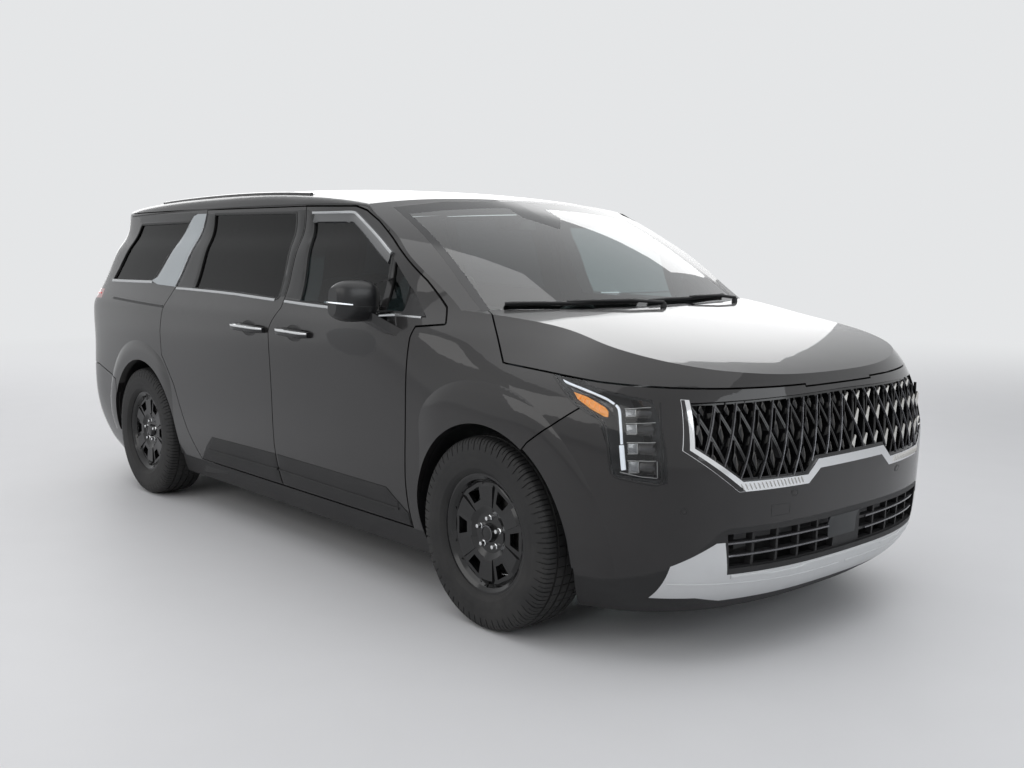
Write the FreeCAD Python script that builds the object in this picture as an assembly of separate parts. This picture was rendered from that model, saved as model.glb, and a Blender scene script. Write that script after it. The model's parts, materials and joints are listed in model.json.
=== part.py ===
import FreeCAD, Part
import math
import os
from functools import lru_cache

# A large family minivan: body shell, panels, glass, lamps, cabin, running gear and wheels.
# Frame: +X forward, +Y to the vehicle's left, +Z up, origin on the ground under the middle.
# Every outline is a table of shares: of half the body length along X, of half the body width
# along Y and of the roof height along Z, unless its name says otherwise.

Vector = FreeCAD.Vector

# overall
body_length = 5156.0
body_width = 1996.0
roof_height = 1740.0
half_length = body_length / 2
half_body = body_width / 2

# running gear
wheelbase = 3090.0
front_axle_x = 1638.0
rear_axle_x = front_axle_x - wheelbase
track = 1742.0
wheel_y = track / 2
tyre_radius = 368.0
tyre_width = 235.0
arch_radius = 418.0
flare_out = 8.0
flare_dip = 4.0
flare_wall = 30.0
flare_fade = 34.0
flare_top_radius = 553.0
rear_flare_radius = 508.0
flare_low_angle = -6.0
front_fade_end = 1170.0
front_fade_start = 1390.0
rear_fade_end = -960.0
rear_fade_start = -1180.0
flare_steps = 16
liner_wall = 8.0
hub_radius = 70.0

# panels
skin_wall = 18.0
door_wall = 90.0
quarter_wall = 62.0
fender_wall = 26.0
bumper_wall = 34.0
gate_wall = 70.0
roof_wall = 46.0
shut_gap = 6.0
hinge_gap = 8.0
rebate = 26.0
seat_gap = 0.3
sliver_share = 0.004
glass_wall = 5.0
glass_drop = 8.0
roof_round = 42.0
hood_round = 26.0
overrun = 400.0
liner_low = 313.0
housing_side = 600.0
liner_side = 560.0
lamp_depth = 60.0
tail_lamp_depth = 36.0
lamp_inner_share = 0.795
gate_start_share = -0.838
grille_drop = 10.0
lozenge_width = 77.0
lozenge_height = 188.0
lozenge_bar = 11.0
lozenge_low = 622.0
lozenge_rows = 4
lozenge_columns = 10
intake_rows = 3
intake_columns = 5
intake_low = 356.0
intake_row_height = 34.0
intake_bar = 10.0
intake_start = 84.0
intake_step = 104.0
lens_wall = 4.0
notch_x = 2420.0
notch_y = 205.0
notch_low = 950.0
notch_high = 1010.0
bowl_wall = 9.0
mirror_x = 940.0
mirror_z = 1212.0
mirror_y = 1062.0
mirror_half = 100.0
mirror_tall = 84.0
mirror_deep = 60.0
mirror_steps = 14
mirror_power = 2.8
mirror_lean = 0.12
mirror_slices = [(-0.95, 0.55, 0.60, -0.1, -0.05), (-0.6, 0.92, 0.92, 0.0, 0.0), (0.0, 1.0, 1.0, 0.0, 0.02),
                 (0.6, 0.92, 0.95, -0.1, 0.03), (1.0, 0.55, 0.68, -0.35, 0.02)]
stalk_root = (1085.0, 975.0, 1062.0)
stalk_tip = (945.0, 1030.0, 1128.0)
stalk_length = 62.0
stalk_height = 40.0
fender_top_y = 772.0
screen_corner = (1454.0, 806.0, 1160.0)
roof_low = 1137.0
screen_depth = 110.0
screen_glass_depth = 12.0
sill_drop = 4.0
sill_wall = 190.0
door_clear = 8.0
post_wall = 44.0
floor_low = 300.0
floor_wall = 40.0
tail_floor_share = -0.915
bulkhead_back = 70.0
bulkhead_wall = 20.0
bulkhead_top = 1090.0
beam_share = 0.925
beam_wall = 40.0
rail_y = 420.0
rail_width = 70.0
rail_low = 430.0
rail_height = 110.0
steer_y = 800.0
joint_z = 235.0
steer_tilt = 13.3
strut_radius = 34.0
strut_length = 640.0
tower_radius = 62.0
stud_radius = 22.0
stud_length = 30.0
arm_half = 45.0
arm_wall = 34.0
engine_clear = 30.0
engine_length = 460.0
engine_width = 780.0
engine_low = 330.0
engine_height = 560.0
radiator_x = 2262.0
radiator_wall = 46.0
radiator_low = 380.0
radiator_height = 520.0
hub_offset = 30.0
axle_tube = 45.0
axle_drop = 120.0
trail_y = 480.0
trail_reach = 120.0
rim_width = 190.0
rim_radius = 210.0
rim_flange = 229.0
lip = 9.0
well = 26.0
face_wall = 16.0
cap_radius = 33.0
face_edge_share = 0.93
ridge_share = 0.86
shoulder_share = 0.50
dish_share = 0.37
pad_share = 0.40
pocket_depth = 7.0
window_spoke_shares = (0.60, 0.10, 0.83, 0.17)
pocket_spoke_shares = (0.44, 0.12, 0.90, 0.33)
window_count = 6
cushion_length = 520.0
seat_height = 300.0
back_wall = 130.0
back_height = 620.0
back_tilt = 22.0
headrest_width = 270.0
headrest_height = 190.0
seat_y = 380.0
seat_width = 520.0
front_seat_x = 90.0
middle_seat_x = -780.0
rear_seat_x = -1640.0
dash_depth = 330.0
dash_low = 700.0
dash_top = 1060.0
column_reach = 130.0
steering_radius = 180.0
steering_rim = 16.0
steering_drop_share = 0.4
spoke_share = 0.9
hub_boss = 52.0
column_share = 1.5
column_tilt = 24.0
cowl_drop = 44.0
cowl_wall = 30.0
cowl_start = 1300.0
cowl_end = 1680.0

UP = Vector(0, 0, 1)
ACROSS = Vector(0, 1, 0)
AHEAD = Vector(1, 0, 0)

# plan form of the body: how wide, how far ahead and how far back it reaches at each height
width_shares = [(0.09, 0.885), (0.14, 0.925), (0.18, 0.948), (0.24, 0.972), (0.31, 0.984),
                (0.40, 0.988), (0.48, 0.992), (0.56, 0.998), (0.60, 0.999), (0.625, 0.996),
                (0.645, 0.985), (0.665, 0.966), (0.69, 0.944), (0.72, 0.922), (0.80, 0.878),
                (0.87, 0.840), (0.93, 0.801), (1.03, 0.725)]
nose_shares = [(0.09, 0.935), (0.13, 0.972), (0.17, 0.990), (0.22, 0.996), (0.30, 0.998),
               (0.37, 1.0), (0.42, 0.998), (0.47, 0.990), (0.52, 0.980), (0.55, 0.973),
               (0.58, 0.962), (0.62, 0.945), (0.72, 0.90), (1.03, 0.70)]
tail_shares = [(0.09, 0.92), (0.14, 0.955), (0.20, 0.978), (0.26, 0.992), (0.32, 0.999),
               (0.38, 1.0), (0.43, 0.994), (0.50, 0.985), (0.57, 0.982), (0.63, 0.978),
               (0.69, 0.966), (0.76, 0.946), (0.84, 0.915), (0.92, 0.882), (1.03, 0.83)]
shoulder_shares = [(0.44, 0.0), (0.48, 0.004), (0.52, 0.022), (0.56, 0.062), (0.60, 0.125),
                   (0.64, 0.20), (0.68, 0.27), (0.72, 0.34), (1.03, 0.60)]
shoulder_start_share = 0.446
shoulder_full_share = 0.737
nose_power = 11.0
tail_power = 17.0
corner_power = 2.5
level_shares = (0.095, 0.115, 0.14, 0.18, 0.24, 0.32, 0.42, 0.50, 0.56, 0.60, 0.63, 0.66, 0.70,
                0.75, 0.82, 0.90, 1.02)
face_shares = (0.0, 0.2, 0.4, 0.6, 0.75, 0.86, 0.935, 0.98)
side_shares = (0.62, 0.42, 0.2, 0.0)

# centre lines of the bonnet, windscreen and roof
hood_line_shares = [(0.4267, 0.7126), (0.5237, 0.6977), (0.5818, 0.6897), (0.6594, 0.6747),
                    (0.7176, 0.6609), (0.7952, 0.6391), (0.8561, 0.6195), (0.9116, 0.5977),
                    (0.9624, 0.5713), (0.993, 0.5431), (1.0473, 0.477)]
roof_line_shares = [(-1.0473, 0.8966), (-0.931, 0.9425), (-0.8534, 0.9609), (-0.737, 0.9793),
                    (-0.5431, 0.9943), (-0.3103, 1), (-0.1552, 0.9989), (0.0, 0.9914),
                    (0.1358, 0.977), (0.2715, 0.9511), (0.3879, 0.9253), (0.5818, 0.8736),
                    (0.7758, 0.8161)]
screen_line_shares = [(0.5977, 0.6982), (0.6379, 0.6563), (0.6747, 0.6168), (0.7126, 0.5768),
                      (0.7471, 0.5415), (0.8046, 0.4779), (0.8621, 0.4073), (0.923, 0.3134),
                      (0.9511, 0.2676), (1.0345, 0.128)]
hood_crown_share = 0.018
roof_crown_share = 0.046
screen_bow_share = 0.093


def blend(pairs, at):
    """Smooth curve through pairs of place and value."""
    last = len(pairs) - 1
    if at <= pairs[0][0]:
        return pairs[0][1]
    if at >= pairs[last][0]:
        return pairs[last][1]
    index = max(k for k in range(last) if pairs[k][0] <= at)

    def slope(k):
        before = pairs[max(k - 1, 0)]
        after = pairs[min(k + 1, last)]
        return (after[1] - before[1]) / (after[0] - before[0])

    (start, low), (end, high) = pairs[index], pairs[index + 1]
    span = end - start
    t = (at - start) / span
    return (low * (2 * t ** 3 - 3 * t ** 2 + 1) + slope(index) * span * (t ** 3 - 2 * t ** 2 + t)
            + high * (3 * t ** 2 - 2 * t ** 3) + slope(index + 1) * span * (t ** 3 - t ** 2))


def ease(at, start, full):
    """Goes smoothly from 0 at start to 1 at full."""
    t = min(max((at - start) / (full - start), 0.0), 1.0)
    return t * t * (3 - 2 * t)


def flank(x, z, inset):
    """Half width of the body at a station and height, away from its rounded ends."""
    high = z / roof_height
    pinch = ease(x / half_length, shoulder_start_share, shoulder_full_share)
    return (blend(width_shares, high) - pinch * blend(shoulder_shares, high)) * half_body - inset


def half_ring(z, inset):
    """Points of the left half of the body's outline at one height, from nose to tail."""
    points = []
    for forward, table, power in ((1, nose_shares, nose_power), (-1, tail_shares, tail_power)):
        reach = blend(table, z / roof_height) * half_length - inset
        places = [((1 - share ** corner_power) ** (1 / power), share) for share in face_shares]
        places += [(share, (1 - share ** power) ** (1 / corner_power)) for share in side_shares]
        ring = []
        for along, across in places:
            x = forward * reach * along
            ring.append(Vector(x, flank(x, z, inset) * across, z))
        points += ring if forward > 0 else ring[-2::-1]
    return points


def ring_wire(z, inset):
    left = half_ring(z, inset)
    right = [Vector(p.x, -p.y, p.z) for p in left[-2:0:-1]]
    points = left + right
    curve = Part.BSplineCurve()
    steps = [float(k) for k in range(len(points) + 1)]
    curve.interpolate(Points=points, PeriodicFlag=True, Parameters=steps)
    return Part.Wire(curve.toShape())


@lru_cache(maxsize=None)
def body_form(inset):
    """The whole body's outer form, moved in by inset, before bonnet, screen and roof cut it."""
    rings = [ring_wire(share * roof_height, inset) for share in level_shares]
    return Part.makeLoft(rings, True, False)


def grid_face(rows):
    surface = Part.BSplineSurface()
    surface.interpolate(rows)
    return surface.toShape()


def under(line_shares, crown, drop, along):
    """Solid below a crowned surface that follows a centre line; used for bonnet and roof."""
    rows = []
    for x_share in along:
        row = []
        for y_share in (-1.1, -0.85, -0.6, -0.3, 0.0, 0.3, 0.6, 0.85, 1.1):
            z = blend(line_shares, x_share) * roof_height - crown * abs(y_share) ** 2.4 - drop
            row.append(Vector(x_share * half_length, y_share * half_body, z))
        rows.append(row)
    return grid_face(rows).extrude(UP * -(roof_height))


def screen_x(y, z):
    """Where the windscreen's outer face is at a place across and a height."""
    bow = screen_bow_share * half_length * (y / half_body) ** 2
    return blend(screen_line_shares, z / roof_height) * half_length - bow


def behind_screen(back):
    """Solid behind the windscreen's outer face, moved back by a length."""
    rows = []
    for z_share in (0.58, 0.64, 0.70, 0.76, 0.82, 0.88, 0.94, 1.0, 1.04):
        row = []
        for y_share in (-1.1, -0.8, -0.4, 0.0, 0.4, 0.8, 1.1):
            y = y_share * half_body
            z = z_share * roof_height
            row.append(Vector(screen_x(y, z) - back, y, z))
        rows.append(row)
    return grid_face(rows).extrude(AHEAD * -(body_length))


steer_axis = Vector(0, -math.sin(math.radians(steer_tilt)), math.cos(math.radians(steer_tilt)))
ball = Vector(front_axle_x, steer_y, joint_z)


def side_points(shares):
    return [Vector(x * half_length, 0, z * roof_height) for x, z in shares]


def closed_wire(points):
    return Part.makePolygon(points + [points[0]])


def prism(wire, start, length):
    """Solid made by pushing a flat closed wire along the axis it stands across."""
    face = Part.Face(wire)
    face.translate(start)
    return face.extrude(length)


def side_prism(points, grow=0.0):
    """Prism across the vehicle's left half from an outline seen from the side."""
    wire = closed_wire(points)
    if grow:
        wire = wire.makeOffset2D(grow)
    return prism(wire, Vector(0, 0, 0), ACROSS * body_width)


def front_prism(shares, x_start, length, grow=0.0):
    """Prism along the vehicle from an outline seen from the front."""
    wire = closed_wire([Vector(0, y * half_body, z * roof_height) for y, z in shares])
    if grow:
        wire = wire.makeOffset2D(grow)
    return prism(wire, Vector(x_start, 0, 0), AHEAD * length)


def mirrored(shape):
    return shape.mirror(Vector(0, 0, 0), ACROSS)


def both_sides(shape):
    return Part.makeCompound([shape, mirrored(shape)])


def box(low, high):
    size = [b - a for a, b in zip(low, high)]
    return Part.makeBox(*size, Vector(*low))


def across_drum(radius, x, y, z, width):
    return Part.makeCylinder(radius, width, Vector(x, y, z), ACROSS)


def keep(name, shape):
    """Writes one piece as its own file, without slivers."""
    least = sliver_share * max(solid.Volume for solid in shape.Solids)
    solids = [solid for solid in shape.Solids if solid.Volume > least]
    shape = solids[0] if len(solids) == 1 else Part.makeCompound(solids)
    shape.exportStep("parts/" + name + ".step")


# outlines of the left side, seen from the side
front_door_shares = [(0.4461, 0.1724), (0.4469, 0.2897), (0.455, 0.4874), (0.462, 0.6207),
                     (0.467, 0.646), (0.5217, 0.654), (0.5089, 0.6868), (0.4558, 0.7448),
                     (0.391, 0.8046), (0.2967, 0.8839), (0.2521, 0.9126), (0.2172, 0.9247),
                     (0.0605, 0.9305), (0.0566, 0.7649), (0.0605, 0.6609), (0.0322, 0.6),
                     (0.0334, 0.2874), (0.0388, 0.1724)]
sliding_door_shares = [(0.0365, 0.1724), (0.031, 0.2874), (0.0299, 0.6), (0.0582, 0.6609),
                       (0.0543, 0.7649), (0.0582, 0.931), (-0.3421, 0.9356), (-0.4096, 0.6966),
                       (-0.4282, 0.6322), (-0.4445, 0.5575), (-0.4461, 0.4828), (-0.3918, 0.3908),
                       (-0.3398, 0.2529), (-0.3026, 0.1724)]
front_window_shares = [(0.1171, 0.6816), (0.3704, 0.6713), (0.3607, 0.8023), (0.218, 0.9069),
                       (0.0861, 0.9103)]
corner_window_shares = [(0.3848, 0.6707), (0.4794, 0.6661), (0.3747, 0.7897)]
sliding_window_shares = [(-0.3165, 0.6989), (0.0349, 0.6862), (0.0217, 0.9138), (-0.308, 0.9195)]
rear_window_shares = [(-0.5392, 0.7161), (-0.7727, 0.7126), (-0.6905, 0.8966), (-0.4267, 0.8989)]
fender_shares = [(0.4492, 0.1506), (0.45, 0.2897), (0.4581, 0.4874), (0.4651, 0.6207),
                 (0.4694, 0.6437), (0.5159, 0.6534), (0.5004, 0.6782), (0.5508, 0.6839),
                 (1.0473, 0.6322), (1.0473, 0.1506)]
quarter_shares = [(-0.2483, 0.1678), (-0.2483, 0.9379), (-0.8379, 0.9379), (-1.0473, 0.9379),
                  (-1.0473, 0.1678)]
bonnet_side_shares = [(0.5043, 0.6494), (0.6051, 0.5977), (0.6629, 0.5828), (0.7432, 0.5736),
                      (0.8262, 0.5638), (0.8766, 0.5598), (0.9275, 0.5552), (0.9697, 0.5506),
                      (1.0473, 0.546), (1.0473, 0.7471), (0.5043, 0.7471)]
front_bumper_shares = [(0.7176, 0.0862), (0.7176, 0.4023), (0.7351, 0.4299), (0.8239, 0.5201),
                       (0.7506, 0.5776), (0.8262, 0.5603), (0.8766, 0.5563), (0.9275, 0.5517),
                       (0.9697, 0.5471), (1.0473, 0.5425), (1.0473, 0.0862)]
rear_bumper_shares = [(-0.6982, 0.0862), (-0.7122, 0.3678), (-0.834, 0.4046), (-1.0473, 0.4115),
                      (-1.0473, 0.0862)]
lamp_shares = [(0.7467, 0.577), (0.8029, 0.519), (0.8429, 0.4931), (0.8576, 0.4437),
               (0.8611, 0.3971), (0.8689, 0.3839), (1.0473, 0.3575), (1.0473, 0.5149),
               (0.9019, 0.531), (0.8185, 0.554), (0.7898, 0.577)]
tail_lamp_shares = [(-0.8029, 0.6448), (-1.0473, 0.6368), (-1.0473, 0.6839), (-0.8107, 0.6759)]
sill_shares = [(0.481, 0.1069), (0.481, 0.1667), (-0.4112, 0.1667), (-0.4112, 0.1069)]
inner_sill_shares = [(0.4344, 0.1667), (0.4344, 0.2241), (-0.287, 0.2241), (-0.287, 0.1667)]
post_shares = [(0.0116, 0.2241), (0.0737, 0.2241), (0.0659, 0.9425), (0.0233, 0.9425)]

# outlines seen from the front or the back; the bonnet's is seen from above
bonnet_plan_shares = [(0.6362, -0.1002), (0.6315, 0.2004), (0.6175, 0.4008), (0.5943, 0.6012),
                      (0.5562, 0.7776), (0.609, 0.8517), (0.6672, 0.9319), (0.6982, 1.1022),
                      (1.0473, 1.1022), (1.0473, -0.1002)]
grille_shares = [(-0.1002, 0.4006), (0.2124, 0.4006), (0.2685, 0.3724), (0.5611, 0.3747),
                 (0.7174, 0.4437), (0.6994, 0.5276), (-0.1002, 0.5333)]
frame_shares = [(-0.1002, 0.3816), (0.2004, 0.3816), (0.2625, 0.354), (0.5752, 0.3552),
                (0.7535, 0.4402), (0.7234, 0.5345), (0.6994, 0.5333), (0.7174, 0.4437),
                (0.5611, 0.3747), (0.2685, 0.3724), (0.2124, 0.4006), (-0.1002, 0.4006)]
intake_shares = [(-0.1002, 0.2011), (0.5912, 0.2023), (0.6072, 0.2724), (-0.1002, 0.2724)]
skid_shares = [(-0.1002, 0.1247), (0.5611, 0.1259), (0.6583, 0.1391), (0.7786, 0.1397),
               (0.7685, 0.2121), (0.6423, 0.2563), (0.6132, 0.2563), (0.5932, 0.1897),
               (-0.1002, 0.1897)]
lower_trim_shares = [(-0.1002, 0.069), (1.1523, 0.069), (1.1523, 0.1724), (0.8818, 0.1713),
                     (0.7295, 0.2207), (0.6333, 0.2782), (0.6012, 0.2839), (-0.1002, 0.2851)]
screen_shares = [(-0.1002, 0.6701), (0.8016, 0.6724), (0.7796, 0.7414), (0.7014, 0.923),
                 (0.4208, 0.9414), (-0.1002, 0.9494)]
gate_shares = [(-0.1002, 0.3218), (0.6413, 0.3218), (0.6914, 0.3448), (0.7395, 0.4368),
               (0.7695, 0.5747), (0.7966, 0.6379), (0.7966, 0.6897), (0.7635, 0.8046),
               (0.7014, 0.9425), (0.6914, 1.0287), (-0.1002, 1.0287)]
gate_window_shares = [(-0.1002, 0.6897), (0.6513, 0.6931), (0.6132, 0.8736), (0.5611, 0.8897),
                      (-0.1002, 0.8966)]


def plan_prism(shares, grow=0.0):
    """Prism upwards from an outline seen from above."""
    wire = closed_wire([Vector(x * half_length, y * half_body, 0) for x, y in shares])
    if grow:
        wire = wire.makeOffset2D(grow)
    return prism(wire, Vector(0, 0, 0.5 * roof_height), UP * (0.3 * roof_height))


def side_zone(shares, grow=0.0):
    return side_prism(side_points(shares), grow)


def walled(form, zone, inner, tools=()):
    """The part of a form inside a zone, hollowed by an inner form, less the tools."""
    piece = form.common(zone).cut(inner)
    for tool in tools:
        piece = piece.cut(tool)
    return piece


def whole(half):
    """A half that meets the middle plane, joined to its mirror image."""
    return half.fuse(mirrored(half)).removeSplitter()


os.makedirs("parts", exist_ok=True)

left_half = box((-body_length, 0, 0), (body_length, body_width, roof_height * 1.2))
plain_left = body_form(0.0).common(left_half)


def side_y(x, z):
    """Half width of the body's outer face at a place along and a height."""
    high = z / roof_height
    table, power = (nose_shares, nose_power) if x > 0 else (tail_shares, tail_power)
    share = min(abs(x) / (blend(table, high) * half_length), 1.0)
    return flank(x, z, 0.0) * (1 - share ** power) ** (1 / corner_power)


def flare(axle_x, edge_radius, fade_end, fade_start):
    """Band round a wheel arch that stands out from the side and fades into it past its edge and at the door."""
    stations = [(arch_radius - flare_wall, flare_out), (arch_radius + flare_wall, flare_out),
                (edge_radius - flare_fade, flare_out), (edge_radius, flare_out * 0.7),
                (edge_radius + flare_fade, -flare_dip)]
    rows = []
    for radius, out in stations:
        row = []
        for step in range(flare_steps + 1):
            turn = flare_low_angle + (180.0 - 2 * flare_low_angle) * step / flare_steps
            x = axle_x + radius * math.cos(math.radians(turn))
            z = tyre_radius + radius * math.sin(math.radians(turn))
            share = ease(abs(x - fade_end), 0.0, abs(fade_start - fade_end))
            if (x - fade_end) * (fade_start - fade_end) < 0:
                share = 0.0
            row.append(Vector(x, side_y(x, z) + (out + flare_dip) * share - flare_dip, z))
        rows.append(row)
    return grid_face(rows).extrude(ACROSS * -(flare_wall))


outer_left = plain_left.fuse([flare(front_axle_x, flare_top_radius, front_fade_end, front_fade_start),
                              flare(rear_axle_x, rear_flare_radius, rear_fade_end, rear_fade_start)])
skin_inner = body_form(skin_wall)
door_inner = body_form(door_wall)
core_left = skin_inner.common(left_half)
glass_left = body_form(glass_drop).common(left_half)
glass_inner = body_form(glass_drop + glass_wall)
trim_left = body_form(skin_wall / 2).common(left_half)


def arch_drum(x, radius, start=0.5 * half_body):
    return across_drum(radius, x, start, tyre_radius, body_width)


def housing(x, start):
    """Wheel housing: half a drum over the tyre, open below."""
    ring = arch_drum(x, arch_radius + liner_wall, start).cut(arch_drum(x, arch_radius, start - overrun))
    return ring.common(trim_left).cut(box((-body_length, 0, 0), (body_length, body_width, liner_low)))


# doors and side glass



def hung_panel(shares, windows):
    """A door: its skin to the full outline, and its inner panel stepped in by the rebate."""
    panel = walled(plain_left, side_zone(shares), skin_inner)
    panel = panel.fuse(walled(core_left, side_zone(shares, -rebate), door_inner))
    return panel.cut([side_zone(window, seat_gap) for window in windows])


def pane(shares):
    return walled(glass_left, side_zone(shares), glass_inner)




def oval_slice(at, half_x, half_z, lean):
    """Rounded outline of the mirror's housing at one place across."""
    points = []
    for step in range(mirror_steps):
        turn = 2 * math.pi * step / mirror_steps
        swell = (abs(math.cos(turn)) ** mirror_power + abs(math.sin(turn)) ** mirror_power) ** (-1 / mirror_power)
        points.append(at + Vector(half_x * swell * math.cos(turn) + lean * math.sin(turn), 0,
                                  half_z * swell * math.sin(turn)))
    curve = Part.BSplineCurve()
    curve.interpolate(Points=points, PeriodicFlag=True)
    return Part.Wire(curve.toShape())


def door_mirror():
    """Mirror housing, lofted across from its inner to its outer end, on a stalk from the door."""
    slices = []
    for across, deep, tall, back, rise in mirror_slices:
        at = Vector(mirror_x + back * mirror_deep, mirror_y + across * mirror_half, mirror_z + rise * mirror_tall)
        slices.append(oval_slice(at, deep * mirror_deep, tall * mirror_tall, mirror_deep * mirror_lean))
    housing_form = Part.makeLoft(slices, True, False)
    ends = []
    for x, y, z in (stalk_root, stalk_tip):
        ends.append(closed_wire([Vector(x, y, z), Vector(x + stalk_length, y, z),
                                 Vector(x + stalk_length, y, z + stalk_height), Vector(x, y, z + stalk_height)]))
    stalk = Part.makeLoft(ends, True, True)
    return housing_form.fuse(stalk)


front_door = hung_panel(front_door_shares, [front_window_shares, corner_window_shares]).fuse(door_mirror())
sliding_door = hung_panel(sliding_door_shares, [sliding_window_shares])
front_panes = Part.makeCompound([pane(front_window_shares), pane(corner_window_shares)])
keep("front_door_left", front_door)
keep("front_door_right", mirrored(front_door))
keep("sliding_door_left", sliding_door)
keep("sliding_door_right", mirrored(sliding_door))
keep("front_door_glass_left", front_panes)
keep("front_door_glass_right", mirrored(front_panes))
side_panes = Part.makeCompound([pane(sliding_window_shares), pane(rear_window_shares)])
keep("side_glass", both_sides(side_panes))

# zones that neighbouring panels share
front_door_gap = side_zone(front_door_shares, hinge_gap)
sliding_door_gap = side_zone(sliding_door_shares, shut_gap)
gate_start = gate_start_share * half_length
gate_zone = front_prism(gate_shares, -body_length, body_length + gate_start)
gate_gap = front_prism(gate_shares, -body_length, body_length + gate_start + shut_gap, shut_gap)
tail_lamp_zone = side_zone(tail_lamp_shares)

# rear quarter panels, with the wheel housing and the pillar round the rear window
quarter = walled(outer_left, side_zone(quarter_shares), body_form(quarter_wall),
                 [sliding_door_gap, gate_gap, side_zone(rear_bumper_shares, shut_gap),
                  arch_drum(rear_axle_x, arch_radius), side_zone(rear_window_shares, seat_gap)])
lamp_band = walled(plain_left, tail_lamp_zone, body_form(tail_lamp_depth), [gate_gap])
quarter = quarter.cut(lamp_band)
rear_housing = housing(rear_axle_x, housing_side)
quarter = quarter.fuse(rear_housing)
keep("quarter_panel_left", quarter)
keep("quarter_panel_right", mirrored(quarter))
keep("tail_lamps", both_sides(lamp_band))

# bonnet and fenders
hood_crown = hood_crown_share * roof_height
hood_along = (0.42, 0.5, 0.58, 0.66, 0.74, 0.82, 0.88, 0.93, 0.97, 1.01)
hood_under = under(hood_line_shares, hood_crown, 0.0, hood_along)
front_outer = outer_left.common(hood_under)
bonnet_outer = plain_left.common(hood_under)
front_inner = body_form(fender_wall).common(under(hood_line_shares, hood_crown, fender_wall, hood_along))
bonnet_zone = plan_prism(bonnet_plan_shares).common(side_zone(bonnet_side_shares))
bonnet_gap = plan_prism(bonnet_plan_shares, shut_gap).common(side_zone(bonnet_side_shares, shut_gap))
notch = box((notch_x, -body_width, notch_low), (body_length, notch_y, notch_high))
notch_gap = box((notch_x, -body_width, notch_low - shut_gap), (body_length, notch_y + shut_gap, notch_high))
bonnet_zone = bonnet_zone.fuse(notch)
bonnet_gap = bonnet_gap.fuse(notch_gap)
bonnet = whole(walled(bonnet_outer, bonnet_zone, front_inner, [behind_screen(-hinge_gap)]))
keep("bonnet", bonnet)
lamp_side = box((0, lamp_inner_share * half_body, 0), (body_length, body_width, roof_height))
lamp_zone = side_zone(lamp_shares).common(lamp_side)
fender = walled(front_outer, side_zone(fender_shares), front_inner,
                [front_door_gap, bonnet_gap, side_zone(front_bumper_shares, shut_gap), lamp_zone,
                 arch_drum(front_axle_x, arch_radius), side_zone(sill_shares, seat_gap)])
fender = fender.cut(box((0, -overrun, roof_low - overrun / 2), (body_length, fender_top_y, body_width)))
fender = fender.cut(box((0, -overrun, screen_corner[2]), (screen_corner[0], screen_corner[1], body_width)))
strut_hole = Part.makeCylinder(strut_radius + shut_gap, body_width, ball, steer_axis)
fender = fender.fuse(housing(front_axle_x, liner_side).cut(strut_hole))
keep("fender_left", fender)
keep("fender_right", mirrored(fender))

# nose: bumper cover, lamps, grilles and the silver plate below
nose_start = 0.5 * half_length
bumper_inner = body_form(bumper_wall)
lamp_inner = body_form(lamp_depth)


def nose_zone(shares):
    return front_prism(shares, nose_start, body_length)


bumper = walled(outer_left, side_zone(front_bumper_shares), bumper_inner,
                [bonnet_gap, lamp_zone, nose_zone(grille_shares), nose_zone(frame_shares),
                 nose_zone(lower_trim_shares), nose_zone(skid_shares),
                 arch_drum(front_axle_x, arch_radius + liner_wall + seat_gap)])
keep("front_bumper", whole(bumper))
lower_trim = walled(outer_left, side_zone(front_bumper_shares).common(nose_zone(lower_trim_shares)), bumper_inner,
                    [nose_zone(intake_shares), nose_zone(skid_shares),
                     arch_drum(front_axle_x, arch_radius + liner_wall + seat_gap)])
keep("bumper_trim", whole(lower_trim))
keep("headlamps", both_sides(walled(plain_left, lamp_zone, body_form(lens_wall), [bonnet_gap])))
lamp_back = body_form(lens_wall + seat_gap).common(left_half)
bowl_zone = side_zone(lamp_shares, -bowl_wall).common(lamp_side)
lamp_bowl = walled(lamp_back, bowl_zone, body_form(lamp_depth - bowl_wall))
lamp_housing = walled(lamp_back, lamp_zone, lamp_inner, [bonnet_gap, lamp_bowl])
keep("headlamp_housings", both_sides(lamp_housing))
keep("grille_frame", whole(walled(plain_left, nose_zone(frame_shares), bumper_inner)))
keep("skid_plate", whole(walled(plain_left, nose_zone(skid_shares), bumper_inner)))
mesh_outer = body_form(grille_drop).common(left_half)


def through(outlines):
    """Cutters along the vehicle, one for each outline seen from the front."""
    cutters = []
    for outline in outlines:
        wire = closed_wire([Vector(0, y, z) for y, z in outline])
        cutters.append(prism(wire, Vector(nose_start, 0, 0), AHEAD * body_length))
    return cutters


def lozenges():
    """Outlines of the openings between two families of crossing bars, in the left half."""
    reach_y = lozenge_width / 2 - lozenge_bar / 2
    reach_z = reach_y * lozenge_height / lozenge_width
    outlines = []
    for row in range(lozenge_rows):
        for column in range(lozenge_columns):
            y = lozenge_width * (column + (0.5 if row % 2 else 0.0))
            z = lozenge_low + lozenge_height / 2 * row
            outlines.append([(y - reach_y, z), (y, z - reach_z), (y + reach_y, z), (y, z + reach_z)])
    return outlines


def slots():
    """Outlines of the lower grille's openings, in the left half."""
    outlines = []
    for row in range(intake_rows):
        low = intake_low + row * (intake_row_height + intake_bar)
        for column in range(intake_columns):
            near = intake_start + column * intake_step
            far = near + intake_step - intake_bar
            outlines.append([(near, low), (far, low), (far, low + intake_row_height), (near, low + intake_row_height)])
    return outlines


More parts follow.
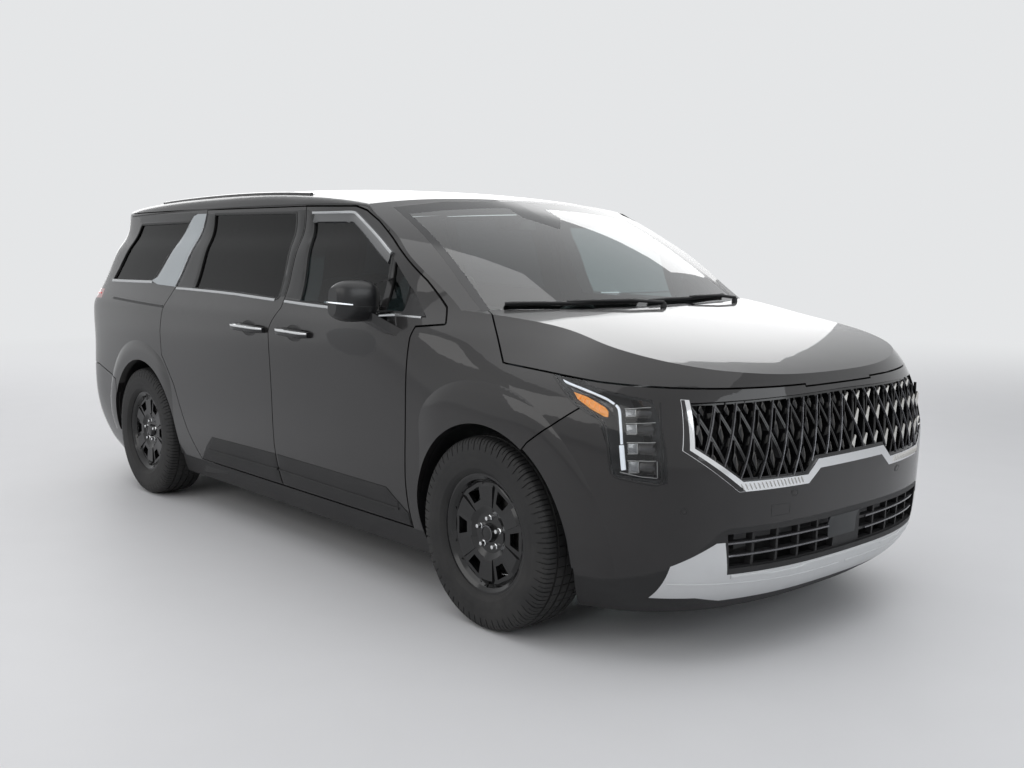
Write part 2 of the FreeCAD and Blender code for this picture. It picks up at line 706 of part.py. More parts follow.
grille = walled(mesh_outer, nose_zone(grille_shares), bumper_inner)
border = walled(mesh_outer, nose_zone(grille_shares), bumper_inner).cut(
    front_prism(grille_shares, nose_start, body_length, -lozenge_bar))
keep("grille", whole(grille.cut(through(lozenges())).fuse(border)))
intake = walled(mesh_outer, nose_zone(intake_shares), bumper_inner)
keep("lower_grille", whole(intake.cut(through(slots()))))

# roof with its pillars, and the windscreen
roof_crown = roof_crown_share * roof_height
roof_along = (-1.04, -0.92, -0.8, -0.6, -0.4, -0.2, 0.0, 0.15, 0.3, 0.45, 0.6, 0.76)


def rim_edges(shape, lowest, shortest):
    """Edges that lie wholly above a height and are longer than a length."""
    return [e for e in shape.Edges if e.BoundBox.ZMin > lowest and e.Length > shortest]


def upper_form(inset, screen_back):
    """The body under the roof line and behind the windscreen."""
    form = body_form(inset).common(under(roof_line_shares, roof_crown, inset, roof_along))
    form = form.common(box((-body_length, -body_width, waist), (body_length, body_width, body_width)))
    return form.common(behind_screen(screen_back))


waist = 0.6 * roof_height
upper = upper_form(0.0, 0.0)
upper = upper.makeFillet(roof_round, rim_edges(upper, 0.88 * roof_height, half_length))
upper_left = upper.common(left_half)
wide_left = box((-body_length, -shut_gap, 0), (body_length, body_width, roof_height * 1.2))
screen_zone = front_prism(screen_shares, 0, body_length)
roof_zone = box((gate_start + shut_gap, 0, roof_low), (body_length, body_width, body_width))
roof = walled(upper_left, roof_zone, upper_form(roof_wall, screen_depth).common(wide_left),
              [front_prism(screen_shares, 0, body_length, seat_gap), side_zone(quarter_shares, shut_gap),
               sliding_door_gap, front_door_gap, bonnet_gap])
keep("roof", whole(roof))
keep("windscreen", whole(upper_left.common(screen_zone).cut(behind_screen(screen_glass_depth))))

# tailgate with its window and lamp, and the rear bumper
tail_box = box((-body_length, -body_width, 0), (0, body_width, body_width))
tail_form = body_form(0.0).common(under(roof_line_shares, roof_crown, 0.0, roof_along)).common(tail_box)
tail_form = tail_form.makeFillet(roof_round, rim_edges(tail_form, 0.88 * roof_height, half_length))
gate_form = tail_form.common(left_half).common(gate_zone)


def tail_inner(inset):
    """The left half of the tail's form, moved in by inset, and a little past the middle."""
    form = body_form(inset).common(box((-body_length, -shut_gap, 0), (0, body_width, body_width)))
    return form.common(under(roof_line_shares, roof_crown, inset, roof_along))


tail_skin = tail_inner(skin_wall)
gate_core_zone = front_prism(gate_shares, -body_length, body_length + gate_start - rebate, -rebate)
gate_lamp = walled(plain_left, tail_lamp_zone.common(gate_zone), body_form(tail_lamp_depth))
gate_core = tail_skin.common(left_half).common(gate_core_zone).cut(tail_inner(gate_wall))
gate = gate_form.cut(tail_skin).fuse(gate_core)
gate = gate.cut(front_prism(gate_window_shares, -body_length, body_length, seat_gap))
gate = gate.cut(gate_lamp)
keep("tailgate", whole(gate))
gate_glass_zone = front_prism(gate_window_shares, -body_length, body_length + gate_start)
keep("tailgate_glass", whole(walled(glass_left, gate_glass_zone, glass_inner)))
keep("tailgate_lamp", whole(gate_lamp))
rear_bumper = walled(outer_left, side_zone(rear_bumper_shares), bumper_inner,
                     [gate_gap, arch_drum(rear_axle_x, arch_radius + liner_wall + seat_gap)])
keep("rear_bumper", whole(rear_bumper))

# floor, sills with the door posts, bulkhead
sill = walled(body_form(sill_drop).common(left_half), side_zone(sill_shares), body_form(sill_wall),
              [arch_drum(front_axle_x, arch_radius + liner_wall + seat_gap),
               arch_drum(rear_axle_x, arch_radius + liner_wall + seat_gap)])
post_form = body_form(door_wall + door_clear).common(left_half)
sill = sill.fuse(walled(post_form, side_zone(inner_sill_shares), body_form(sill_wall)))
post = walled(post_form, side_zone(post_shares), body_form(door_wall + door_clear + post_wall))
sill = sill.fuse(post.common(under(roof_line_shares, roof_crown, roof_wall + seat_gap, roof_along)))
keep("sills", both_sides(sill))
floor_top = floor_low + floor_wall
bulkhead_x = front_axle_x - arch_radius - bulkhead_back
floor_front = body_form(sill_wall).common(
    box((rear_axle_x + arch_radius + liner_wall, -body_width, floor_low), (bulkhead_x, body_width, floor_top)))
floor_back = box((tail_floor_share * half_length, -housing_side, floor_low),
                 (rear_axle_x + arch_radius + liner_wall, housing_side, floor_top))
keep("floor_pan", floor_front.fuse(floor_back).removeSplitter())
bulkhead = body_form(sill_wall).common(
    box((bulkhead_x, -body_width, floor_low), (bulkhead_x + bulkhead_wall, body_width, bulkhead_top)))
keep("bulkhead", bulkhead)

# front frame: two rails, a bumper beam, strut towers and the lower arms
rail_start = bulkhead_x + bulkhead_wall
beam_x = beam_share * half_length
rail = box((rail_start, rail_y, rail_low), (beam_x, rail_y + rail_width, rail_low + rail_height))
strut_head = ball + steer_axis * strut_length
tower_top = strut_head.z + tower_radius
tower = Part.makeCylinder(tower_radius, tower_radius, strut_head + steer_axis * seat_gap, steer_axis)
tower = tower.fuse(box((front_axle_x - tower_radius, rail_y, rail_low + rail_height),
                       (front_axle_x + tower_radius, rail_y + rail_width, tower_top)))
tower = tower.fuse(box((front_axle_x - tower_radius, rail_y, tower_top - beam_wall),
                       (front_axle_x + tower_radius, strut_head.y, tower_top)))
arm_low = joint_z - stud_length - arm_wall / 2
arm_top = joint_z - stud_length + arm_wall / 2
arm = box((front_axle_x - arm_half, rail_y, arm_low), (front_axle_x + arm_half, steer_y, arm_top))
arm = arm.fuse(Part.makeCylinder(arm_half, arm_wall, Vector(front_axle_x, steer_y, arm_low), UP))
stud = Part.makeCylinder(stud_radius, stud_length, ball - steer_axis * seat_gap, steer_axis * -1)
leg = box((front_axle_x - arm_half, rail_y, arm_low), (front_axle_x + arm_half, rail_y + arm_wall, rail_low))
half_beam = box((beam_x, 0, rail_low - beam_wall), (beam_x + beam_wall, rail_y + rail_width, rail_low + rail_height))
half_cross = box((front_axle_x - arm_half, 0, arm_low), (front_axle_x + arm_half, rail_y, arm_top))
engine_x = front_axle_x + tower_radius + engine_clear
mount_x = engine_x + engine_length / 2
mount = box((mount_x - arm_half, engine_width / 2 + seat_gap, rail_low),
            (mount_x + arm_half, rail_y, rail_low + rail_height))
frame_half = rail.fuse([tower, arm, stud, leg, half_beam, half_cross, mount])
keep("front_frame", whole(frame_half))
engine = box((engine_x, -engine_width / 2, engine_low),
             (engine_x + engine_length, engine_width / 2, engine_low + engine_height))
keep("engine_block", engine)

radiator = box((radiator_x, -(rail_y - seat_gap), radiator_low),
               (radiator_x + radiator_wall, rail_y - seat_gap, radiator_low + radiator_height))
keep("radiator", radiator)

# knuckles with the hub face and the strut, turning about an upright axis
hub_face_y = wheel_y + hub_offset
hub_back = steer_y - hub_radius
knuckle = across_drum(hub_radius, front_axle_x, hub_back, tyre_radius, hub_face_y - hub_back)
strut = Part.makeCylinder(strut_radius, strut_length, ball, steer_axis)
knuckle = knuckle.fuse(strut).removeSplitter()
keep("knuckle_left", knuckle)
keep("knuckle_right", mirrored(knuckle))

# rear axle: a beam between the hubs, with arms up to the floor
beam = across_drum(axle_tube, rear_axle_x, 0, tyre_radius - axle_drop, hub_back + axle_tube)
beam = beam.fuse(box((rear_axle_x - axle_tube, hub_back, tyre_radius - axle_drop),
                     (rear_axle_x + axle_tube, hub_back + axle_tube, tyre_radius)))
hub = across_drum(hub_radius, rear_axle_x, hub_back, tyre_radius, hub_face_y - hub_back)
trail = box((rear_axle_x, trail_y, tyre_radius - axle_drop - axle_tube),
            (rear_axle_x + arch_radius + trail_reach, trail_y + rail_width / 2, tyre_radius - axle_drop))
trail = trail.fuse(box((rear_axle_x + arch_radius, trail_y, tyre_radius - axle_drop),
                       (rear_axle_x + arch_radius + trail_reach, trail_y + rail_width / 2, floor_low - seat_gap)))
keep("rear_axle", whole(beam.fuse([hub, trail])))


def revolved(points, x, y_mid):
    """A ring about the wheel's axle from points of offset across and radius."""
    outline = [Vector(x, y_mid + across, tyre_radius + radius) for across, radius in points]
    return Part.Face(closed_wire(outline)).revolve(Vector(x, 0, tyre_radius), ACROSS, 360)


def spoke_outline(x, shares, turn):
    """Four-cornered outline on the wheel's face: inner and outer radius with their half widths."""
    inner, inner_half, outside, outer_half = [share * rim_radius for share in shares]
    corners = [(-inner_half, inner), (-outer_half, outside), (outer_half, outside), (inner_half, inner)]
    wire = closed_wire([Vector(x + across, 0, tyre_radius + radius) for across, radius in corners])
    wire.rotate(Vector(x, 0, tyre_radius), ACROSS, turn)
    return wire


def rim(x):
    """Rim barrel with a dished face, six windows in shallow pockets and a hub cap."""
    half = rim_width / 2
    face_y = half - lip * 1.5
    barrel = [(-half, rim_radius), (-half, rim_flange), (-half + lip, rim_flange),
              (-half + lip * 2, rim_radius + lip / 2), (0, rim_radius - well), (half - lip * 3, rim_radius),
              (half - lip, rim_flange), (half, rim_flange), (half, rim_flange - lip),
              (half - lip, rim_radius - lip / 2), (face_y - lip, rim_radius * face_edge_share), (face_y, rim_radius * ridge_share),
              (face_y - lip / 2, rim_radius * shoulder_share), (face_y - face_wall, rim_radius * dish_share),
              (face_y - face_wall, cap_radius + lip / 2), (face_y - lip / 2, cap_radius), (face_y - lip / 2, 0),
              (hub_offset + seat_gap, 0), (hub_offset + seat_gap, rim_radius * pad_share),
              (face_y - lip - face_wall, rim_radius * shoulder_share), (face_y - lip - face_wall, rim_radius - well - lip),
              (0, rim_radius - well - lip), (-half + lip, rim_radius - lip)]
    body = revolved(barrel, x, wheel_y)
    tools = []
    for spoke in range(window_count):
        turn = 360.0 / window_count * (spoke + 0.5)
        tools.append(prism(spoke_outline(x, window_spoke_shares, turn), Vector(0, 0, 0), ACROSS * body_width))
        pocket_y = wheel_y + face_y - pocket_depth
        tools.append(prism(spoke_outline(x, pocket_spoke_shares, turn), Vector(0, pocket_y, 0), ACROSS * rim_width))
    return body.cut(tools)


def tyre(x):
    half = tyre_width / 2
    bead = rim_width / 2 - lip * 2
    points = [(-bead, rim_flange - lip), (-half * 0.97, rim_flange + lip * 2), (-half, rim_flange + (tyre_radius - rim_flange) * 0.45),
              (-half * 0.93, tyre_radius - lip * 2), (-half * 0.80, tyre_radius - lip * 0.3), (0, tyre_radius), (half * 0.80, tyre_radius - lip * 0.3),
              (half * 0.93, tyre_radius - lip * 2), (half, rim_flange + (tyre_radius - rim_flange) * 0.45), (half * 0.97, rim_flange + lip * 2),
              (bead, rim_flange - lip)]
    return revolved(points, x, wheel_y)


for end, x in (("front", front_axle_x), ("rear", rear_axle_x)):
    ring = tyre(x)
    wheel = rim(x).cut(ring)
    keep(end + "_wheel_left", wheel)
    keep(end + "_wheel_right", mirrored(wheel))
    keep(end + "_tyre_left", ring)
    keep(end + "_tyre_right", mirrored(ring))

# cabin: seats, dash and steering wheel
def seat(x, y, width):
    """A seat: cushion on its plinth, back and headrest."""
    base = box((x, y - width / 2, floor_top), (x + cushion_length, y + width / 2, floor_top + seat_height))
    back = box((0, y - width / 2, 0), (back_wall, y + width / 2, back_height))
    back.rotate(Vector(0, 0, 0), ACROSS, -back_tilt)
    back.translate(Vector(x - back_wall * 0.6, 0, floor_top + seat_height * 0.55))
    rest = box((0, y - headrest_width / 2, back_height), (back_wall * 0.7, y + headrest_width / 2, back_height + headrest_height))
    rest.rotate(Vector(0, 0, 0), ACROSS, -back_tilt)
    rest.translate(Vector(x - back_wall * 0.6, 0, floor_top + seat_height * 0.55))
    return base.fuse([back, rest]).removeSplitter()


keep("front_seats", both_sides(seat(front_seat_x, seat_y, seat_width)))
keep("middle_seats", both_sides(seat(middle_seat_x, seat_y, seat_width)))
keep("rear_seat", seat(rear_seat_x, 0, housing_side * 2 - seat_width * 0.1))
dash = body_form(sill_wall).common(box((bulkhead_x - dash_depth, -body_width, dash_low), (bulkhead_x, body_width, dash_top)))
keep("dashboard", dash)
wheel_centre = Vector(bulkhead_x - dash_depth - column_reach, seat_y, dash_top - steering_radius * steering_drop_share)
section = [Vector(steering_rim * math.cos(math.pi * step / 4), 0, steering_radius + steering_rim * math.sin(math.pi * step / 4))
           for step in range(8)]
steering = Part.Face(closed_wire(section)).revolve(Vector(0, 0, 0), AHEAD, 360)
spoke_half = steering_rim * spoke_share
steering = steering.fuse([Part.makeCylinder(hub_boss, column_reach * column_share, Vector(-steering_rim, 0, 0), AHEAD),
                          box((-spoke_half, -steering_radius, -spoke_half), (spoke_half, steering_radius, spoke_half)),
                          box((-spoke_half, -spoke_half, -steering_radius), (spoke_half, spoke_half, 0))])
steering.rotate(Vector(0, 0, 0), ACROSS, column_tilt)
steering.translate(wheel_centre)
keep("steering_wheel", steering.cut(dash))
cowl = body_form(fender_wall + shut_gap).common(left_half).common(
    under(hood_line_shares, hood_crown, cowl_drop, hood_along)).cut(under(hood_line_shares, hood_crown, cowl_drop + cowl_wall, hood_along))
cowl = cowl.common(box((cowl_start, 0, 0), (cowl_end, body_width, body_width))).cut(behind_screen(-seat_gap))
keep("cowl", whole(cowl))
silencer = box((-half_length * 0.86, -half_body * 0.5, floor_low - seat_height * 0.6), (-half_length * 0.70, half_body * 0.5, floor_low))
keep("exhaust_silencer", silencer)
tank = box((-half_length * 0.30, -half_body * 0.45, floor_low - seat_height * 0.5), (half_length * 0.05, half_body * 0.45, floor_low))
keep("fuel_tank", tank)
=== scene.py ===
import bmesh
import bpy
import json
import math
from mathutils import Matrix, Vector
from mathutils.bvhtree import BVHTree


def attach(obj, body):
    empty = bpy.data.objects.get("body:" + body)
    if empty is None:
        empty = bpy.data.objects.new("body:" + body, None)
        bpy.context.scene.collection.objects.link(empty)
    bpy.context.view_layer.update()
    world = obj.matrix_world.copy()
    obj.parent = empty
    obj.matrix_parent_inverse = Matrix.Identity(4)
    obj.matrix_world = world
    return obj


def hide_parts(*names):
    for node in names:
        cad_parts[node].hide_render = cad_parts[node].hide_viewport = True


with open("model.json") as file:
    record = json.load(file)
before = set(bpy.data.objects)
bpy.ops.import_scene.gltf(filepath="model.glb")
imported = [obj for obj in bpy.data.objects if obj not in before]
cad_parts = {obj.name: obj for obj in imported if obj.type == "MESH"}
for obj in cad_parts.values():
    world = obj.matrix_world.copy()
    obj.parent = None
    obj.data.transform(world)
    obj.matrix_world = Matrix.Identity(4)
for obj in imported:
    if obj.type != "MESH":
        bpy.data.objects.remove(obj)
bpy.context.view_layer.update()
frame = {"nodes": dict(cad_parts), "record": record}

nodes = frame["nodes"]
scene = bpy.context.scene
scene.view_settings.view_transform = "Standard"

# camera, solved from the photograph: place in metres, turns in degrees, lens and sensor in millimetres
CAMERA_AT = (4.740, -3.522, 1.424)
CAMERA_YAW, CAMERA_PITCH, CAMERA_ROLL = 139.03, -6.97, 0.14
CAMERA_LENS, SENSOR = 38.74, 36
PHOTO_WIDTH, PHOTO_HEIGHT = 1024, 768
# wheels, the dark housings round them, and what is dark beyond the flanks: mirrors and outer edges of handles
FRONT_X, REAR_X = 1.638, -1.452
WHEEL_Y, WHEEL_Z = 0.871, 0.368
HOUSING_R, HOUSING_Y = 0.432, 0.955
MIRROR_Y, MIRROR_LOW, MIRROR_BAND = 0.999, 1.09, (1.150, 0.5)
# inner outline of the windscreen's dark border, and its shade behind the mirror
SCREEN_TAPER, SCREEN_SIDE, SCREEN_ARCH = 0.227, 1.030, 0.088
SCREEN_TOP, SCREEN_FOOT = 1.616, 1.186
SHADE_SLOPE, SHADE_LOW, SHADE_HALF = 0.45, 1.515, 0.12
# faces that look across by this much or down by this much, behind the bonnet, are cabin trim
INWARD, DOWNWARD, CABIN_END = -0.25, -0.6, 1.15
# studio: what is seen behind the object, and the dimmer light from all round
BACKDROP = (0.78, 0.79, 0.80, 1)
SKY_LOW, SKY_HIGH = (0.48, (0.20, 0.20, 0.205, 1)), (0.88, (1.0, 1.02, 1.06, 1))
SKY_POWER = 0.45
FLOOR_HALF, FADE_START, FADE_END = 120.0, 5.0, 14.0
GRAIN_HIGH = 0.0006
GRAZE_POWER = 3.5
SIDES = (("left", 1), ("right", -1))


def add(tree, kind, inputs=None, **settings):
    """A node with its settings; an input takes a value or the output that feeds it."""
    node = tree.nodes.new(kind)
    for name, value in settings.items():
        setattr(node, name, value)
    for name, value in (inputs or {}).items():
        if isinstance(value, bpy.types.NodeSocket):
            tree.links.new(value, node.inputs[name])
        else:
            node.inputs[name].default_value = value
    return node


def calc(tree, operation, *values):
    """Output of one sum or test of some values."""
    return add(tree, "ShaderNodeMath", dict(enumerate(values)), operation=operation).outputs[0]


def camera_turn():
    """How the camera is turned, from its three angles."""
    yaw, pitch = math.radians(CAMERA_YAW), math.radians(CAMERA_PITCH)
    ahead = Vector((math.cos(yaw) * math.cos(pitch), math.sin(yaw) * math.cos(pitch), math.sin(pitch)))
    return (ahead.to_track_quat("-Z", "Y").to_matrix() @ Matrix.Rotation(math.radians(CAMERA_ROLL), 3, "Z"))


def make_camera():
    """The camera of the photograph."""
    data = bpy.data.cameras.new("camera")
    data.lens = CAMERA_LENS
    data.sensor_width = SENSOR
    camera = bpy.data.objects.new("camera", data)
    camera.matrix_world = Matrix.Translation(CAMERA_AT) @ camera_turn().to_4x4()
    scene.collection.objects.link(camera)
    scene.camera = camera


def area_light(name, at, to, size, power, colour=(1, 1, 1)):
    """Wide lamp at one place, aimed at another."""
    data = bpy.data.lights.new(name, "AREA")
    data.shape = "RECTANGLE"
    data.size, data.size_y = size
    data.energy = power
    data.color = colour
    light = bpy.data.objects.new(name, data)
    light.location = at
    light.rotation_euler = (Vector(to) - Vector(at)).to_track_quat("-Z", "Y").to_euler()
    scene.collection.objects.link(light)


def make_studio():
    """Plain backdrop that is seen and mirrored, dimmer light from all round, and four wide lamps."""
    world = bpy.data.worlds.new("studio")
    scene.world = world
    world.use_nodes = True
    tree = world.node_tree
    coords = add(tree, "ShaderNodeTexCoord")
    split = add(tree, "ShaderNodeSeparateXYZ", {0: coords.outputs["Generated"]})
    ramp = add(tree, "ShaderNodeValToRGB", {0: calc(tree, "MULTIPLY_ADD", split.outputs["Z"], 0.5, 0.5)})
    for stop, (place, colour) in enumerate((SKY_LOW, SKY_HIGH)):
        ramp.color_ramp.elements[stop].position = place
        ramp.color_ramp.elements[stop].color = colour
    dim = add(tree, "ShaderNodeBackground", {0: ramp.outputs[0], 1: SKY_POWER})
    plain = add(tree, "ShaderNodeBackground", {0: BACKDROP, 1: 1.0})
    path = add(tree, "ShaderNodeLightPath")
    seen = path.outputs["Is Camera Ray"]
    for ray in ("Is Glossy Ray", "Is Transmission Ray"):
        seen = calc(tree, "MAXIMUM", seen, path.outputs[ray])
    pick = add(tree, "ShaderNodeMixShader", {0: seen, 1: dim.outputs[0], 2: plain.outputs[0]})
    tree.links.new(pick.outputs[0], tree.nodes["World Output"].inputs[0])
    area_light("top_light", (1.2, -0.6, 4.6), (0.6, 0, 0), (9.0, 5.0), 110)
    area_light("side_light", (1.0, -6.5, 3.4), (0.5, 0, 0.9), (9.0, 3.0), 115, (1, 0.99, 0.97))
    area_light("nose_light", (7.5, 1.0, 2.8), (1.8, 0, 0.7), (6.0, 2.6), 85, (0.93, 0.97, 1))
    area_light("back_light", (-9.0, 6.0, 5.0), (0, 0, 0.8), (16.0, 6.0), 480)


def group_tree(name, inputs, outputs):
    """Empty group with its sockets, and its two end nodes."""
    tree = bpy.data.node_groups.new(name, "ShaderNodeTree")
    for label, kind in inputs:
        tree.interface.new_socket(label, in_out="INPUT", socket_type=kind)
    for label, kind in outputs:
        tree.interface.new_socket(label, in_out="OUTPUT", socket_type=kind)
    return tree, tree.nodes.new("NodeGroupInput"), tree.nodes.new("NodeGroupOutput")


def make_dust_group():
    """A thin film of road dust: more of it low down, broken up by noise."""
    tree, source, sink = group_tree("road_dust", [("Colour", "NodeSocketColor"),
                                                  ("Roughness", "NodeSocketFloat"),
                                                  ("Amount", "NodeSocketFloat")],
                                    [("Colour", "NodeSocketColor"), ("Roughness", "NodeSocketFloat")])
    coords = add(tree, "ShaderNodeTexCoord")
    split = add(tree, "ShaderNodeSeparateXYZ", {0: coords.outputs["Object"]})
    low = add(tree, "ShaderNodeMapRange", {"Value": split.outputs["Z"], "From Min": 0.75, "From Max": 0.1,
                                           "To Min": 0.15, "To Max": 1.0})
    noise = add(tree, "ShaderNodeTexNoise", {"Vector": coords.outputs["Object"], "Scale": 6.0, "Detail": 8.0,
                                             "Roughness": 0.65})
    spread = add(tree, "ShaderNodeMapRange", {"Value": noise.outputs["Fac"], "From Min": 0.35,
                                              "From Max": 0.75})
    film = calc(tree, "MULTIPLY", low.outputs[0], spread.outputs[0])
    share = calc(tree, "MULTIPLY", film, source.outputs["Amount"])
    colour = add(tree, "ShaderNodeMix", {"Factor": share, 6: source.outputs["Colour"],
                                         7: (0.11, 0.105, 0.10, 1)}, data_type="RGBA")
    rough = add(tree, "ShaderNodeMix", {"Factor": share, 2: source.outputs["Roughness"], 3: 0.85})
    tree.links.new(colour.outputs[2], sink.inputs[0])
    tree.links.new(rough.outputs[0], sink.inputs[1])
    return tree


def make_grain_group():
    """Fine moulded grain as a bump."""
    tree, source, sink = group_tree("fine_grain", [("Scale", "NodeSocketFloat"),
                                                   ("Depth", "NodeSocketFloat")],
                                    [("Normal", "NodeSocketVector")])
    coords = add(tree, "ShaderNodeTexCoord")
    cells = add(tree, "ShaderNodeTexVoronoi", {"Vector": coords.outputs["Object"],
                                               "Scale": source.outputs["Scale"]})
    bump = add(tree, "ShaderNodeBump", {"Height": cells.outputs["Distance"],
                                        "Strength": source.outputs["Depth"], "Distance": GRAIN_HIGH})
    tree.links.new(bump.outputs[0], sink.inputs[0])
    return tree


dust_group = make_dust_group()
grain_group = make_grain_group()


def material(name, colour, rough=0.4, metal=0.0, coat=0.0, coat_rough=0.03, grain=900.0, depth=0.1,
             dust=0.3, glow=None, glow_power=0.0, sheen=0.0, variation=0.12, gleam=0.5):
    """A finished surface: base, grain, colour variation and dust, with an optional coat."""
    made = bpy.data.materials.new(name)
    made.use_nodes = True
    tree = made.node_tree
    shader = tree.nodes["Principled BSDF"]
    coords = add(tree, "ShaderNodeTexCoord")
    noise = add(tree, "ShaderNodeTexNoise", {"Vector": coords.outputs["Object"], "Scale": 3.5, "Detail": 6.0})
    lighter = tuple(min(1, channel * (1 + variation)) for channel in colour) + (1,)
    darker = tuple(channel * (1 - variation) for channel in colour) + (1,)
    mixed = add(tree, "ShaderNodeMix", {"Factor": noise.outputs["Fac"], 6: darker, 7: lighter},
                data_type="RGBA")
    film = add(tree, "ShaderNodeGroup", node_tree=dust_group)
    for socket, value in (("Roughness", rough), ("Amount", dust)):
        film.inputs[socket].default_value = value
    tree.links.new(mixed.outputs[2], film.inputs["Colour"])
    bumps = add(tree, "ShaderNodeGroup", node_tree=grain_group)
    for socket, value in (("Scale", grain), ("Depth", depth)):
        bumps.inputs[socket].default_value = value
    tree.links.new(film.outputs["Colour"], shader.inputs["Base Color"])
    tree.links.new(film.outputs["Roughness"], shader.inputs["Roughness"])
    tree.links.new(bumps.outputs["Normal"], shader.inputs["Normal"])
    for socket, value in (("Metallic", metal), ("Coat Weight", coat), ("Coat Roughness", coat_rough),
                          ("Sheen Weight", sheen), ("Specular IOR Level", gleam)):
        shader.inputs[socket].default_value = value
    if glow:
        shader.inputs["Emission Color"].default_value = (*glow, 1)
        shader.inputs["Emission Strength"].default_value = glow_power
    return made


def wheel_mask(tree, place):
    """1 inside the housings round the wheels."""
    mask = None
    for centre in (FRONT_X, REAR_X):
        squares = []
        for axis, middle in (("X", centre), ("Z", WHEEL_Z)):
            away = calc(tree, "ABSOLUTE", calc(tree, "SUBTRACT", place.outputs[axis], middle))
            squares.append(calc(tree, "POWER", away, 2.0))
        near = calc(tree, "LESS_THAN", calc(tree, "ADD", *squares), HOUSING_R ** 2)
        mask = near if mask is None else calc(tree, "MAXIMUM", mask, near)
    return mask


def paint_material(name, colour, trim):
    """Metallic paint under a clear coat; faces that look into the cabin are trim."""
    made = material(name, colour, rough=0.40, metal=0.45, coat=0.85, coat_rough=0.015, depth=0.0, dust=0.08,
                    gleam=0.15, variation=0.03)
    tree = made.node_tree
    shader = tree.nodes["Principled BSDF"]
    output = tree.nodes["Material Output"]
    coords = add(tree, "ShaderNodeTexCoord")
    flakes = add(tree, "ShaderNodeTexVoronoi", {"Vector": coords.outputs["Object"], "Scale": 2600.0})
    tilt = add(tree, "ShaderNodeBump", {"Height": flakes.outputs["Distance"], "Strength": 0.12,
                                        "Distance": 0.0002})
    tree.links.new(tilt.outputs[0], shader.inputs["Normal"])
    peel = add(tree, "ShaderNodeTexNoise", {"Vector": coords.outputs["Object"], "Scale": 260.0,
                                            "Detail": 1.0})
    smooth = add(tree, "ShaderNodeBump", {"Height": peel.outputs["Fac"], "Strength": 0.02,
                                          "Distance": 0.0004})
    tree.links.new(smooth.outputs[0], shader.inputs["Coat Normal"])
    shader.inputs["Coat IOR"].default_value = 1.45
    inner = add(tree, "ShaderNodeBsdfPrincipled", {"Base Color": (*trim, 1), "Roughness": 0.7})
    place = add(tree, "ShaderNodeSeparateXYZ", {0: coords.outputs["Object"]})
    facing = add(tree, "ShaderNodeSeparateXYZ", {0: coords.outputs["Normal"]})
    inside = calc(tree, "LESS_THAN", calc(tree, "MULTIPLY", place.outputs["Y"], facing.outputs["Y"]), INWARD)
    below = calc(tree, "LESS_THAN", facing.outputs["Z"], DOWNWARD)
    cabin = calc(tree, "LESS_THAN", place.outputs["X"], CABIN_END)
    both = calc(tree, "MULTIPLY", calc(tree, "MAXIMUM", inside, below), cabin)
    mix = add(tree, "ShaderNodeMixShader", {0: both, 1: shader.outputs[0], 2: inner.outputs[0]})
    wide = calc(tree, "ABSOLUTE", place.outputs["Y"])
    housing = calc(tree, "MULTIPLY", wheel_mask(tree, place), calc(tree, "LESS_THAN", wide, HOUSING_Y))
    mirror = calc(tree, "MULTIPLY", calc(tree, "GREATER_THAN", wide, MIRROR_Y),
                  calc(tree, "COMPARE", place.outputs["Z"], *MIRROR_BAND))
    black = add(tree, "ShaderNodeBsdfPrincipled", {"Base Color": (0.010, 0.010, 0.011, 1), "Roughness": 0.32})
    dark = add(tree, "ShaderNodeMixShader", {0: calc(tree, "MAXIMUM", housing, mirror), 1: mix.outputs[0],
                                             2: black.outputs[0]})
    tree.links.new(dark.outputs[0], output.inputs["Surface"])
    return made


def border_mask(tree, place):
    """1 on the windscreen's dark border and behind its sensors, 0 on the clear glass."""
    across = calc(tree, "ABSOLUTE", place.outputs["Y"])
    height = place.outputs["Z"]
    sides = calc(tree, "ADD", across, calc(tree, "MULTIPLY", height, SCREEN_TAPER))
    over = calc(tree, "ADD", height, calc(tree, "MULTIPLY", calc(tree, "POWER", across, 2.0), SCREEN_ARCH))
    shade = calc(tree, "ADD", calc(tree, "MULTIPLY", across, -SHADE_SLOPE), height)
    tests = [calc(tree, "GREATER_THAN", sides, SCREEN_SIDE), calc(tree, "GREATER_THAN", over, SCREEN_TOP),
             calc(tree, "LESS_THAN", height, SCREEN_FOOT),
             calc(tree, "MULTIPLY", calc(tree, "GREATER_THAN", shade, SHADE_LOW),
                  calc(tree, "LESS_THAN", across, SHADE_HALF))]
    mask = tests[0]
    for test in tests[1:]:
        mask = calc(tree, "MAXIMUM", mask, test)
    return mask


